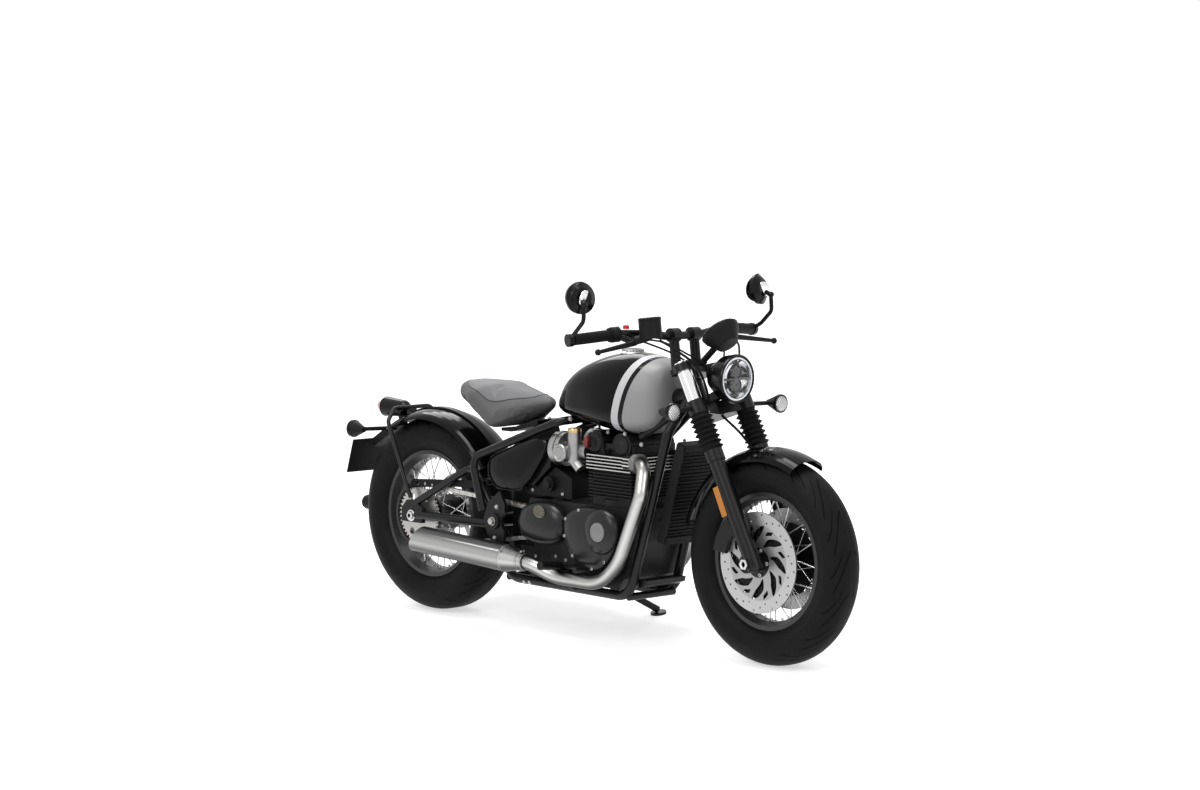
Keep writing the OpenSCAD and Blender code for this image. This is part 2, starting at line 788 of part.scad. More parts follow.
module number_plate() {
    color("#101012") {
        translate([-1086, -100, 545]) rotate([0, 16, 0]) translate([0, 0, -118]) cube([4, 200, 118]);
        side_slab([[-948, 612], [-944, 598], [-1070, 516], [-1084, 540], [-1000, 592]], -22, 22);
        // Strip down behind the tyre to the reflector
        about_axle(rear_axle) rotate([0, 0, 138]) rotate_extrude(angle = 44, $fn = 96)
            translate([rear_tyre_r + 12, -14]) square([4, 28]);
        translate([-1087, 0, 322]) rotate([0, -90, 0]) cylinder(h = 34, r = 25);
    }
    color("#b5121b") translate([-1121, 0, 322]) rotate([0, -90, 0]) cylinder(h = 8, r = 22);
}

// Shock absorber under the seat, its spring drawn as separate turns on the body
module shock_absorber() {
    turns = 7;
    long = norm(shock_high - shock_low);
    coil_low = 40;
    coil_high = long - 48;
    color("#2a2b2d") difference() {
        union() {
            along(shock_low, shock_high) {
                cylinder(h = long, r = 16);
                for (i = [0:turns - 1]) translate([0, 0, coil_low + i * (coil_high - coil_low)
                    / (turns - 1)])
                    cylinder(h = 9, r = 28);
            }
            for (p = [shock_low, shock_high]) cross_bar(p.x, p.z, -14, 14, 20);
        }
        cross_bar(shock_low.x, shock_low.z, -30, 30, 12 + fit);
        cross_bar(shock_high.x, shock_high.z, -30, 30, 11 + fit);
    }
}

// Footrests, pedals and their brackets
module footrests() {
    color("#1f2022") {
        both_sides() {
            rod([-10, -116, 222], [-10, -176, 236], 11);
            rod([-10, -166, 236], [-10, -255, 244], 14);
            rod([-10, -127, 166], [-10, -127, 226], 8);
            rod([-10, -104, 160], [-10, -129, 173], 8);
        }
        // Brake pedal on the right and gear pedal on the left
        rod([-14, -148, 230], [122, -190, 240], 6);
        rod([116, -180, 240], [116, -225, 240], 9);
        rod([-14, 148, 230], [122, 186, 250], 6);
        rod([116, 178, 250], [116, 222, 250], 9);
    }
}

// Drive chain as one closed loop of plates and rollers round both sprockets
module drive_chain() {
    rear = rear_axle;
    front = gearbox_out;
    span = norm(front - rear);
    tilt = atan2(front.z - rear.z, front.x - rear.x);
    open_a = acos((rear_pitch_r - front_pitch_r) / span);
    run_len = sqrt(span * span - pow(rear_pitch_r - front_pitch_r, 2));
    links = round(run_len / chain_pitch);
    color("#77797c") {
        for (s = [-1, 1]) {
            a = tilt + s * open_a;
            n = [cos(a), 0, sin(a)];
            p0 = rear + n * rear_pitch_r;
            p1 = front + n * front_pitch_r;
            for (y = [-chain_y - 6, -chain_y + 4]) rod_plate(p0, p1, y);
            for (i = [0:links]) {
                p = p0 + (p1 - p0) * i / links;
                cross_bar(p.x, p.z, -chain_y - 7, -chain_y + 7, roller_r);
            }
        }
        chain_arc(rear, rear_pitch_r, tilt + open_a, tilt + 360 - open_a);
        chain_arc(front, front_pitch_r, tilt - open_a, tilt + open_a);
        // Gearbox sprocket inside the loop, on its shaft
        cross_bar(front.x, front.z, -chain_y - 3.5, -chain_y + 3.5, front_pitch_r - 3);
        cross_bar(front.x, front.z, -chain_y, pocket_y, 14);
    }
}

// Straight run of link plates at one width
module rod_plate(p0, p1, y) {
    d = p1 - p0;
    translate([p0.x, y, p0.z]) rotate([0, -atan2(d.z, d.x), 0])
        translate([0, 0, -5.5]) cube([norm(d), 2, 11]);
}

// Curved run of link plates and rollers round a sprocket
module chain_arc(c, r, from_angle, to_angle) {
    n = round((to_angle - from_angle) / (360 * chain_pitch / (2 * PI * r)));
    for (y = [-chain_y - 6, -chain_y + 4])
        translate([c.x, y + 2, c.z]) rotate([90, 0, 0]) rotate([0, 0, from_angle])
            rotate_extrude(angle = to_angle - from_angle) translate([r - 5.5, 0]) square([11, 2]);
    for (i = [1:n - 1]) {
        a = from_angle + (to_angle - from_angle) * i / n;
        cross_bar(c.x + r * cos(a), c.z + r * sin(a), -chain_y - 7, -chain_y + 7, roller_r);
    }
}

// Flat guard over the chain's upper run, with three holes near its rear end
module chain_guard() {
    outer = chain_y + 11.6;
    color("#232426") difference() {
        side_slab([[-800, 402], [-776, 440], [-462, 462], [-460, 436], [-560, 432], [-770, 412]],
            -outer, -outer + 3);
        for (x = [-750, -716, -682]) cross_bar(x, 428, -outer - 1, -outer + 4, 6);
    }
}

// Caliper that straddles a disc: two halves and a bridge outside the disc's edge
module caliper(disc_r, y, from_angle, to_angle) {
    gap = disc_t / 2 + clear;
    half_t = 12;
    for (s = [-1, 1]) rotate([0, 0, from_angle])
        rotate_extrude(angle = to_angle - from_angle, $fn = 96)
            translate([disc_r - 34, y + (s > 0 ? gap : -gap - half_t)]) square([50, half_t]);
    rotate([0, 0, from_angle]) rotate_extrude(angle = to_angle - from_angle, $fn = 96)
        translate([disc_r + clear + 1, y - gap - half_t]) square([12, 2 * gap + 2 * half_t]);
}

module rear_caliper() {
    inner = rear_disc_y + disc_t / 2 + clear;
    color("#232426") {
        about_axle(rear_axle) caliper(rear_disc_d / 2, -rear_disc_y, 20, 62);
        difference() {
            union() {
                cross_bar(rear_axle.x, rear_axle.z, inner, inner + 10, 24);
                side_slab([[-766, 340], [-740, 300], [-655, 356], [-640, 392], [-680, 404]], inner,
                    inner + 9);
            }
            cross_bar(rear_axle.x, rear_axle.z, 60, 160, axle_d / 2 + fit);
        }
    }
}

// Side stand, drawn deployed with its foot on the ground
stand_pivot = [-40, 126, 136];
foot_y = 262;
foot_x = 12;
// Direction of the stand's pivot bolt
stand_axis = unit([-0.212, 1, 0.5]);
stand_pin_r = 6;
ground_at_foot = (foot_y * sin(lean) - lift) / cos(lean);
stand_foot = [foot_x, foot_y, ground_at_foot];

module side_stand() {
    foot_t = 8;
    color("#1f2022") difference() {
        union() {
            rod(stand_pivot, stand_foot + [0, -3, 14], 11);
            translate(stand_foot) rotate([lean, 0, 0]) cylinder(h = foot_t, r = 26);
            rod(stand_pivot - stand_axis * 12, stand_pivot + stand_axis * 12, 17);
        }
        // Bore for the pivot bolt, and nothing of the leg below the foot's plate
        rod(stand_pivot - stand_axis * 40, stand_pivot + stand_axis * 40, stand_pin_r + run);
        translate(stand_foot) rotate([lean, 0, 0]) translate([-60, -60, -60]) cube([120, 120, 60]);
    }
}

// Steering

yoke_low = 812;
yoke_t = 44;
top_yoke = 955;
top_yoke_t = 24;
tube_top = 985;
gaiter_low = 692;
gaiter_high = 806;
slider_top = 692;
slider_low = 300;

// One yoke plate: a waisted bar with a boss at each leg
module yoke(z, t) {
    translate([0, 0, z]) linear_extrude(t) {
        circle(r = 34);
        polygon([[-20, -30], [-20, 30], [fork_offset - 18, fork_y + 4], [fork_offset + 18, fork_y - 8],
            [fork_offset - 14, 0], [fork_offset + 18, -fork_y + 8], [fork_offset - 18, -fork_y - 4]]);
        for (s = [-1, 1]) translate([fork_offset, s * fork_y]) circle(r = fork_tube_d / 2 + 8);
    }
}

module fork_yokes() {
    color("#1b1c1e") steering_frame() difference() {
        union() {
            yoke(yoke_low, yoke_t);
            yoke(top_yoke, top_yoke_t);
            translate([0, 0, yoke_low]) cylinder(h = top_yoke - yoke_low, r = stem_r);
        }
        for (s = [-1, 1]) translate([fork_offset, s * fork_y, 780])
            cylinder(h = 300, d = fork_tube_d + 2 * fit);
    }
}

module fork_tubes() {
    color("#cfd0d1") steering_frame() for (s = [-1, 1]) translate([fork_offset, s * fork_y,
        slider_top - 40])
        cylinder(h = tube_top - slider_top + 40, d = fork_tube_d);
}

// Rubber gaiters: a stack of rounded folds over the fork tube
module fork_gaiters() {
    pitch = (gaiter_high - gaiter_low) / gaiter_folds;
    color("#202022") steering_frame() for (s = [-1, 1]) translate([fork_offset, s * fork_y, 0])
        difference() {
        union() {
            translate([0, 0, slider_top + fit]) cylinder(h = yoke_low - slider_top - 2 * fit,
                r = gaiter_d / 2 - 9);
            for (i = [0:gaiter_folds - 1]) translate([0, 0, gaiter_low + (i + 0.5) * pitch])
                for (up = [0, 1]) mirror([0, 0, up])
                    cylinder(h = pitch * 0.36, r1 = gaiter_d / 2, r2 = gaiter_d / 2 - 8);
        }
        translate([0, 0, 600]) cylinder(h = 300, d = fork_tube_d + 2 * fit);
    }
}

module fork_sliders() {
    collar_h = 36;
    color("#1e1f21") difference() {
        union() {
            steering_frame() for (s = [-1, 1]) translate([fork_offset, s * fork_y, 0]) {
                translate([0, 0, slider_low]) cylinder(h = slider_top - slider_low - collar_h,
                    d = slider_d);
                translate([0, 0, slider_top - collar_h]) cylinder(h = collar_h, d = slider_d + 7);
            }
            for (s = [-1, 1]) cross_bar(front_axle.x, front_axle.z, s * fork_y - 24, s * fork_y + 24, 28);
            // Lugs that carry the calipers
            both_sides() side_slab([[712, 372], [694, 430], [664, 436], [660, 404]],
                -fork_y, -front_disc_y - disc_t / 2 - clear - 12 - fit);
        }
        cross_bar(front_axle.x, front_axle.z, -300, 300, axle_d / 2 + run);
        steering_frame() for (s = [-1, 1]) translate([fork_offset, s * fork_y, slider_top - 40 - fit])
            cylinder(h = 100, d = fork_tube_d + 2 * fit);
    }
}

// Hollow axle, clamped in the ends of both sliders
module front_spindle() {
    color("#8c8d8f") difference() {
        cross_bar(front_axle.x, front_axle.z, -fork_y - 30, fork_y + 30, axle_d / 2);
        cross_bar(front_axle.x, front_axle.z, -300, 300, front_axle_bore_d / 2);
    }
}

module front_calipers() {
    color("#2a2b2d") for (s = [-1, 1]) {
        about_axle(front_axle) caliper(front_disc_d / 2, s * front_disc_y, 132, 172);
    }
}

bar_half = [[271, -bar_half_w, 979], [318, -235, 994], [352, -150, 992], [356, -70, 981]];
bar_path = concat(bar_half, mirrored([for (i = [len(bar_half) - 1:-1:0]) bar_half[i]]));
bar_dir = unit(bar_half[0] - bar_half[1]);

module handlebar() {
    clamp = [358, 0, 984];
    color("#1b1c1e") {
        pipe(bar_path, 50, bar_d / 2);
        for (s = [-1, 1]) difference() {
            union() {
                steering_frame() translate([-4, s * 45, top_yoke + top_yoke_t + fit])
                    cylinder(h = 18, r = 20);
                rod(steer(-4, s * 45, top_yoke + top_yoke_t + 12), clamp + [0, s * 45, 0], 16);
                cross_bar(clamp.x, clamp.z, s * 45 - 17, s * 45 + 17, 22);
            }
            cross_bar(bar_half[3].x, bar_half[3].z, s * 45 - 60, s * 45 + 60, bar_d / 2 + sleeve + fit);
        }
    }
}

grip_in = bar_half[0] - bar_dir * 134;
grip_out = bar_half[0] - bar_dir * 4;

module grips() {
    color("#202022") both_sides() difference() {
        union() {
            rod(grip_in, grip_out, 17.5);
            rod(grip_in, grip_in + bar_dir * 6, 22);
        }
        rod(grip_in - bar_dir * 10, grip_out + bar_dir * 10, bar_d / 2 + sleeve + fit);
    }
}

module controls() {
    pod_out = grip_in - bar_dir * fit;
    pod_in = grip_in - bar_dir * 28;
    lever_in = [366, -222, 968];
    lever_out = [378, -394, 948];
    color("#1d1e20") {
        both_sides() difference() {
            union() {
                rod(pod_in, pod_out, 24);
                rod(pod_in + bar_dir * 14, lever_in, 10);
                taper(lever_in, lever_out, 9, 6);
                translate(lever_out) sphere(r = 10);
            }
            rod(pod_in - bar_dir * 40, pod_out + bar_dir * 20, bar_d / 2 + sleeve + fit);
        }
        // Brake reservoir on its master cylinder, on the right
        translate([402, -190, 982]) rotate([0, -8, 0]) cylinder(h = 62, r = 35);
        rod([402, -190, 990], [366, -222, 974], 13);
    }
}

module mirrors() {
    collar_in = bar_half[0] + bar_dir * fit;
    head = [308, -401, 1109];
    joint = [340, -418, 1092];
    outward = 16;
    color("#1b1c1e") both_sides() {
        rod(collar_in, collar_in + bar_dir * 16, 20);
        pipe([collar_in + bar_dir * 8, [300, -419, 1000], [341, -421, 1040], joint], 22, 6.5);
        translate(joint) sphere(r = 10);
        translate(head) rotate([0, 0, -outward]) rotate([0, 80, 0]) {
            translate([0, 0, -12]) cylinder(h = 12, r1 = mirror_d / 2 - 2, r2 = mirror_d / 2);
            cylinder(h = 14, r1 = mirror_d / 2, r2 = mirror_d / 2 - 20);
        }
        rod(head, joint, 7);
    }
}

lamp_centre = [578, 0, 861];

module headlight() {
    r = headlight_d / 2;
    color("#1b1c1e") {
        difference() {
            translate(lamp_centre) rotate([0, -90, 0]) {
                cylinder(h = 34, r1 = r, r2 = r - 5);
                translate([0, 0, 34]) cylinder(h = 46, r1 = r - 5, r2 = r - 34);
            }
            translate(lamp_centre + [1, 0, 0]) rotate([0, -90, 0]) cylinder(h = 26, r = r - 10);
        }
        // Stay down to the lower yoke
        steering_frame() translate([38, -15, yoke_low + yoke_t + fit]) cube([58, 30, 26]);
    }
}

module headlight_lens() {
    color("#dfe3e6") translate(lamp_centre) rotate([0, -90, 0])
        cylinder(h = 18, r = headlight_d / 2 - 10 - fit);
}

module instrument() {
    color("#161719") {
        translate([511, 0, 1003]) rotate([0, -42, 0]) {
            translate([0, 0, -14]) cylinder(h = 14, r1 = 58, r2 = 62);
            translate([0, 0, -54]) cylinder(h = 40, r1 = 34, r2 = 58);
            cylinder(h = 6, r1 = 62, r2 = 56);
        }
        steering_frame() translate([70, 0, top_yoke + top_yoke_t + fit]) cylinder(h = 10, r = 13);
        rod(steer(70, 0, top_yoke + top_yoke_t + 8), [516, 0, 972], 10);
    }
}

module front_indicators() {
    color("#1b1c1e") both_sides() {
        translate([545, -241, 769]) indicator();
        rod([515, -236, 769], [518, -fork_y - fork_tube_d / 2 - 10, 772], 7);
    }
}

stance() frame();
stance() cradle();
stance() swingarm();
stance() swingarm_tubes();
stance() crankcase();
stance() cylinder_block();
stance() cylinder_head();
stance() cam_cover();
stance() clutch_cover();
stance() alternator_cover();
stance() sprocket_cover();
stance() throttle_bodies();
stance() side_panels();
stance() battery_box();
stance() exhaust_pipes();
stance() silencers();
stance() radiator();
stance() fuel_tank();
stance() fuel_cap();
stance() seat_pad();
stance() seat_pan();
stance() rear_mudguard();
stance() mudguard_stay();
stance() tail_lamp();
stance() tail_lens();
stance() rear_indicators();
stance() number_plate();
stance() shock_absorber();
stance() footrests();
stance() drive_chain();
stance() chain_guard();
stance() rear_caliper();
stance() side_stand();
stance() rear_tyre();
stance() rear_rim();
stance() rear_sprocket();
stance() rear_disc();
stance() front_tyre();
stance() front_rim();
stance() front_discs();
stance() fork_yokes();
stance() fork_tubes();
stance() fork_gaiters();
stance() fork_sliders();
stance() front_spindle();
stance() front_mudguard();
stance() front_calipers();
stance() handlebar();
stance() grips();
stance() controls();
stance() mirrors();
stance() headlight();
stance() headlight_lens();
stance() instrument();
stance() front_indicators();
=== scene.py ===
"""Dresses a parked bobber motorcycle: paint, leather, rubber, engine detail, trim and a plain studio."""

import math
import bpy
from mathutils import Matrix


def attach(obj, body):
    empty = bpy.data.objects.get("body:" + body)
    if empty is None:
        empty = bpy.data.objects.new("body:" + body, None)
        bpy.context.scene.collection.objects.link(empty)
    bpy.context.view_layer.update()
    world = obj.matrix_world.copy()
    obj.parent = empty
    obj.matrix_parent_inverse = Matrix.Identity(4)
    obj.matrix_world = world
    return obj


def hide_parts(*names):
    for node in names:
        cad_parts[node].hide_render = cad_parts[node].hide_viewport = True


bl_info = {
    "name": "Bobber Motorcycle",
    "version": (1, 0, 0),
    "blender": (4, 5, 0),
    "location": "3D View > Sidebar > Bobber",
    "description": "Builds the looks of a parked bobber motorcycle around its solid model",
    "category": "Object",
}

import bmesh
import bpy
from mathutils import Matrix, Vector
from mathutils.bvhtree import BVHTree

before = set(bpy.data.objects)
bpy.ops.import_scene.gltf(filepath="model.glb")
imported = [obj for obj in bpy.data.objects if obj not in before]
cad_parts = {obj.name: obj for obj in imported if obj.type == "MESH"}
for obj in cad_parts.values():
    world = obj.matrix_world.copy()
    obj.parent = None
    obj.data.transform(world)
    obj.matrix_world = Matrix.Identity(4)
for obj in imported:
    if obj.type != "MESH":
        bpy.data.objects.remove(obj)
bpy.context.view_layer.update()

MM = 0.001
# How far the machine leans, and where its stand puts it, in metres
LEAN = math.radians(10)
STAND_OFFSET = Vector((0.0295, -0.192, 0.0036))
# The parked machine: drawn upright in its own frame, then leaned onto its stand
STANCE = Matrix.Translation(STAND_OFFSET) @ Matrix.Rotation(-LEAN, 4, "X")
FRONT_AXLE = Vector((0.750, 0, 0.3184))
REAR_AXLE = Vector((-0.750, 0, 0.322))
AHEAD, LEFT, UP = Vector((1, 0, 0)), Vector((0, 1, 0)), Vector((0, 0, 1))
RIGHT = -LEFT


def mm(*xyz):
    """Point or step given in millimetres, in metres."""
    return Vector(xyz) * MM


# Shader values


class Wire:
    """A shader socket that takes part in Python arithmetic by adding Math nodes."""

    def __init__(self, finish, socket):
        self.finish, self.socket = finish, socket

    def maths(self, operation, *others):
        return self.finish.node("ShaderNodeMath", {"operation": operation}, [self, *others])

    def __add__(self, other):
        return self.maths("ADD", other)

    def __sub__(self, other):
        return self.maths("SUBTRACT", other)

    def __rsub__(self, other):
        return self.finish.node("ShaderNodeMath", {"operation": "SUBTRACT"}, [other, self])

    def __mul__(self, other):
        return self.maths("MULTIPLY", other)

    def __truediv__(self, other):
        return self.maths("DIVIDE", other)

    def __gt__(self, other):
        return self.maths("GREATER_THAN", other)

    def __lt__(self, other):
        return self.maths("LESS_THAN", other)

    def __abs__(self):
        return self.maths("ABSOLUTE")

    def __pow__(self, other):
        return self.maths("POWER", other)

    def __mod__(self, other):
        return self.maths("FLOORED_MODULO", other)

    __radd__ = __add__
    __rmul__ = __mul__

    def sin(self):
        return self.maths("SINE")

    def sqrt(self):
        return self.maths("SQRT")

    def ramp(self, low, high):
        """0 below low, 1 above high, smooth between them."""
        return self.finish.node(
            "ShaderNodeMapRange",
            {"interpolation_type": "SMOOTHSTEP"},
            {"Value": self, "From Min": low, "From Max": high},
        )


class Finish:
    """One material: its node tree, its Principled shader and ways to add to them."""

    def __init__(self, name, colour, roughness, **settings):
        self.material = bpy.data.materials.new(name)
        self.material.use_nodes = True
        self.tree = self.material.node_tree
        self.bsdf = self.tree.nodes["Principled BSDF"]
        self.material.diffuse_color = (*colour[:3], 1)
        self.set("Base Color", (*colour[:3], 1))
        self.set("Roughness", roughness)
        for key, value in settings.items():
            self.set(key.replace("_", " ").title().replace("Ior", "IOR"), value)

    def node(self, kind, settings=None, inputs=(), out=0):
        made = self.tree.nodes.new(kind)
        for key, value in (settings or {}).items():
            setattr(made, key, value)
        pairs = inputs.items() if isinstance(inputs, dict) else enumerate(inputs)
        for key, value in pairs:
            if isinstance(value, Wire):
                self.tree.links.new(value.socket, made.inputs[key])
            elif value is not None:
                made.inputs[key].default_value = value
        return Wire(self, made.outputs[out])

    def set(self, name, value):
        if isinstance(value, Wire):
            self.tree.links.new(value.socket, self.bsdf.inputs[name])
        else:
            self.bsdf.inputs[name].default_value = value
        return self

    def place(self):
        """Position in the upright machine's frame, in metres."""
        coords = self.node("ShaderNodeTexCoord", out=3)
        back = Matrix.Rotation(LEAN, 3, "X") @ STAND_OFFSET
        return self.node(
            "ShaderNodeMapping", None, {0: coords, "Location": tuple(-back), "Rotation": (LEAN, 0, 0)}
        )

    def xyz(self):
        place = self.place()
        split = self.tree.nodes.new("ShaderNodeSeparateXYZ")
        self.tree.links.new(place.socket, split.inputs[0])
        return [Wire(self, split.outputs[i]) for i in range(3)]

    def noise(self, scale, detail=3.0, stretch=None, kind="ShaderNodeTexNoise"):
        where = self.place()
        if stretch:
            where = self.node("ShaderNodeMapping", None, {0: where, "Scale": stretch})
        sockets = {"Vector": where, "Scale": scale}
        if kind == "ShaderNodeTexNoise":
            sockets["Detail"] = detail
        return self.node(kind, None, sockets)

    def mix(self, factor, first, second):
        """Colour between first and second, each a colour or a link."""
        made = self.tree.nodes.new("ShaderNodeMix")
        made.data_type = "RGBA"
        for index, value in ((0, factor), (6, first), (7, second)):
            if isinstance(value, Wire):
                self.tree.links.new(value.socket, made.inputs[index])
            else:
                made.inputs[index].default_value = (*value[:3], 1) if index else value
        return Wire(self, made.outputs[2])

    def bump(self, height, strength=0.3, distance=0.001, edge=0.0):
        """Surface relief from a height, on rounded edges if edge is a radius in metres."""
        inputs = {"Height": height, "Strength": strength, "Distance": distance}
        if edge:
            inputs["Normal"] = self.node("ShaderNodeBevel", {"samples": 4}, {"Radius": edge})
        return self.set("Normal", self.node("ShaderNodeBump", None, inputs))

    def facing(self, blend=0.5):
        """1 where the surface faces the eye, 0 where it is seen edge on."""
        return 1 - self.node("ShaderNodeLayerWeight", None, {"Blend": blend}, 1)

    def banded(self, centre=0.25, reach=0.6, least=0.2):
        """1 where the surface faces a band of the sky, falling to least above and below it."""
        normal = self.node("ShaderNodeNewGeometry", out=1)
        split = self.tree.nodes.new("ShaderNodeSeparateXYZ")
        self.tree.links.new(normal.socket, split.inputs[0])
        band = (1 - abs((Wire(self, split.outputs[2]) - centre) / reach)).maths("MAXIMUM", 0.0)
        return band.ramp(0.0, 0.8) * (1 - least) + least

    def about(self, axle):
        """Distance from an axle's line and the angle about it."""
        x, y, z = self.xyz()
        ahead, above = x - axle.x, z - axle.z
        radius = (ahead * ahead + above * above).sqrt()
        return radius, self.node("ShaderNodeMath", {"operation": "ARCTAN2"}, [above, ahead])

    def vary_roughness(self, low, high, scale=30.0):
        return self.set("Roughness", self.noise(scale) * (high - low) + low)


# Every finish made so far, by name
FINISHES = {}


def finish(name, colour=None, roughness=0.5, **settings):
    """The finish of that name, made on its first use."""
    if name not in FINISHES:
        FINISHES[name] = Finish(name, colour, roughness, **settings)
    return FINISHES[name]


def mat(name):
    """Blender's material of that finish."""
    return FINISHES[name].material


# Mesh building


def smooth_path(points, steps=8):
    """Catmull-Rom curve through the points."""
    ends = [points[0] * 2 - points[1], *points, points[-1] * 2 - points[-2]]
    made = []
    for i in range(1, len(ends) - 2):
        a, b, c, d = ends[i - 1 : i + 3]
        for k in range(steps):
            t = k / steps
            bend = 2 * a - 5 * b + 4 * c - d
            made.append(0.5 * (2 * b + (c - a) * t + bend * t * t + (3 * b - a - 3 * c + d) * t**3))
    return made + [points[-1]]


def turns(count):
    """Equally spaced angles of a full turn, in radians."""
    return [2 * math.pi * k / count for k in range(count)]


def around(angle):
    """Unit vector in the machine's side plane, at an angle from ahead towards up."""
    return Vector((math.cos(angle), 0, math.sin(angle)))


def basis(axis):
    """Two directions square to axis and to each other."""
    axis = axis.normalized()
    first = axis.cross(UP if abs(axis.z) < 0.9 else AHEAD).normalized()
    return first, axis.cross(first)


class Form:
    """Collects the surfaces of one piece in the upright machine's frame, in metres."""

    def __init__(self):
        self.points, self.faces = [], []

    def add(self, points, faces):
        start = len(self.points)
        self.points += [Vector(p) for p in points]
        self.faces += [[start + i for i in f] for f in faces]
        return self

    def grid(self, rows, closed=False, caps=False):
        """Skin over rows of equally many points; closed joins each row's ends."""
        wide = len(rows[0])
        faces = []
        for i in range(len(rows) - 1):
            for k in range(wide if closed else wide - 1):
                n = (k + 1) % wide
                faces.append([i * wide + k, i * wide + n, (i + 1) * wide + n, (i + 1) * wide + k])
        if caps:
            faces.append(list(range(wide))[::-1])
            faces.append([(len(rows) - 1) * wide + k for k in range(wide)])
        return self.add([p for row in rows for p in row], faces)

    def turned(self, centre, axis, profile, sides=32, close=False):
        """Profile of (radius, height) pairs in millimetres, turned about axis at centre."""
        u, v = basis(axis)
        axis = axis.normalized()
        rows = []
        for r, h in profile:
            ring = []
            for a in turns(sides):
                ring.append(centre + axis * h * MM + (u * math.cos(a) + v * math.sin(a)) * r * MM)
            rows.append(ring)
        if close:
            rows.append(rows[0])
        return self.grid(rows, closed=True)

    def tube(self, path, radius, sides=10, caps=True):
        """Round tube along a path, its radius a number or one value a point, in millimetres."""
        radii = radius if isinstance(radius, (list, tuple)) else [radius] * len(path)
        rows = []
        u = None
        for i, p in enumerate(path):
            along = (path[min(i + 1, len(path) - 1)] - path[max(i - 1, 0)]).normalized()
            u = basis(along)[0] if u is None else (u - along * u.dot(along)).normalized()
            v = along.cross(u)
            rows.append([p + (u * math.cos(a) + v * math.sin(a)) * radii[i] * MM for a in turns(sides)])
        return self.grid(rows, closed=True, caps=caps)

    def slab(self, outline, origin, right, up, thick):
        """Flat outline in millimetres on the plane of right and up, given a thickness."""
        out = right.cross(up).normalized() * thick * MM
        flat = [origin + right * x * MM + up * y * MM for x, y in outline]
        n = len(flat)
        faces = [list(range(n))[::-1], [n + i for i in range(n)]]
        faces += [[i, (i + 1) % n, n + (i + 1) % n, n + i] for i in range(n)]
        return self.add(flat + [p + out for p in flat], faces)

    def domed(self, outline, side, levels, origin=Vector(), smooth=5):
        """Cover over a closed outline of (x, z) points, in millimetres; each level is (inset, y)."""
        loop = smooth_path([Vector((x, 0, z)) for x, z in outline + outline[:1]], smooth)[:-1]
        centre = sum(loop, Vector()) / len(loop)
        reach = min((p - centre).length for p in loop)
        rows = []
        for inset, y in levels:
            keep = 1 - inset / reach
            row = []
            for p in loop:
                flat = centre + (p - centre) * max(keep, 0.02)
                row.append(origin + mm(flat.x, side * y, flat.z))
            rows.append(row)
        return self.grid(rows, closed=True, caps=True)

    def bolt(self, place, axis, size=8.0, height=5.0):
        """Hexagon head on a washer."""
        axis = axis.normalized()
        self.turned(place, axis, [(size * 0.62, 0), (size * 0.62, 1), (size * 0.5, 1.2)], 20)
        self.turned(
            place, axis,
            [(size * 0.5, 1), (size * 0.5, height - 0.8), (size * 0.42, height), (0.01, height)], 6
        )
        return self

    def socket(self, place, axis, size=9.0, height=6.0):
        """Round socket-head screw with its hollow."""
        r = size / 2
        profile = [
            (r, 0), (r, height - 0.7), (r - 0.7, height), (r * 0.55, height), (r * 0.5, height - 3),
            (0.01, height - 3)
        ]
        return self.turned(place, axis.normalized(), profile, 16)

    def build(self, name, finishes, body, replaces=(), slot=None, angle=38, bevel=0.0, subdivide=0):
        """Makes the piece, leans it with the machine and hangs it on its body."""
        mesh = bpy.data.meshes.new(name)
        mesh.from_pydata([STANCE @ p for p in self.points], [], self.faces)
        for label in finishes:
            mesh.materials.append(mat(label))
        bm = bmesh.new()
        bm.from_mesh(mesh)
        bmesh.ops.remove_doubles(bm, verts=bm.verts, dist=1e-6)
        bmesh.ops.recalc_face_normals(bm, faces=bm.faces)
        bm.to_mesh(mesh)
        bm.free()
        piece = bpy.data.objects.new(name, mesh)
        bpy.context.scene.collection.objects.link(piece)
        if bevel:
            tool = piece.modifiers.new("edges", "BEVEL")
            tool.width, tool.segments = bevel * MM, 2
            tool.limit_method, tool.angle_limit = "ANGLE", math.radians(40)
        if subdivide:
            tool = piece.modifiers.new("smooth", "SUBSURF")
            tool.levels = tool.render_levels = subdivide
        mesh.shade_smooth()
        mesh.set_sharp_from_angle(angle=math.radians(angle))
        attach(piece, body)
        if replaces:
            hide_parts(*replaces)
        return piece


# Finishes


# Plain finishes: name, colour, metallic, lowest and highest roughness, and how finely it varies
PLAIN_FINISHES = (
    ("polished_alloy", (0.78, 0.78, 0.77), 1.0, (0.12, 0.22), 60),
    ("cover_badge", (0.20, 0.20, 0.20), 0.8, (0.34, 0.48), 70),
    ("brass_cap", (0.62, 0.43, 0.2), 1.0, (0.24, 0.4), 90),
    ("chrome", (0.82, 0.82, 0.83), 1.0, (0.04, 0.1), 40),
    ("spoke_steel", (0.6, 0.6, 0.6), 1.0, (0.2, 0.35), 60),
    ("link_steel", (0.55, 0.54, 0.52), 0.85, (0.24, 0.4), 200),
    ("chain_oiled", (0.03, 0.03, 0.03), 0.6, (0.34, 0.5), 90),
    ("grille_metal", (0.16, 0.15, 0.12), 0.9, (0.26, 0.4), 80),
    ("mirror_glass", (0.85, 0.86, 0.87), 1.0, (0.01, 0.04), 12),
    ("lamp_reflector", (0.8, 0.8, 0.82), 1.0, (0.05, 0.14), 50),
    ("connector_red", (0.13, 0.01, 0.01), 0, (0.4, 0.55), 80),
    ("switch_red", (0.5, 0.02, 0.015), 0, (0.3, 0.45), 80),
    ("seat_welt", (0.02, 0.02, 0.021), 0, (0.45, 0.6), 60),
)


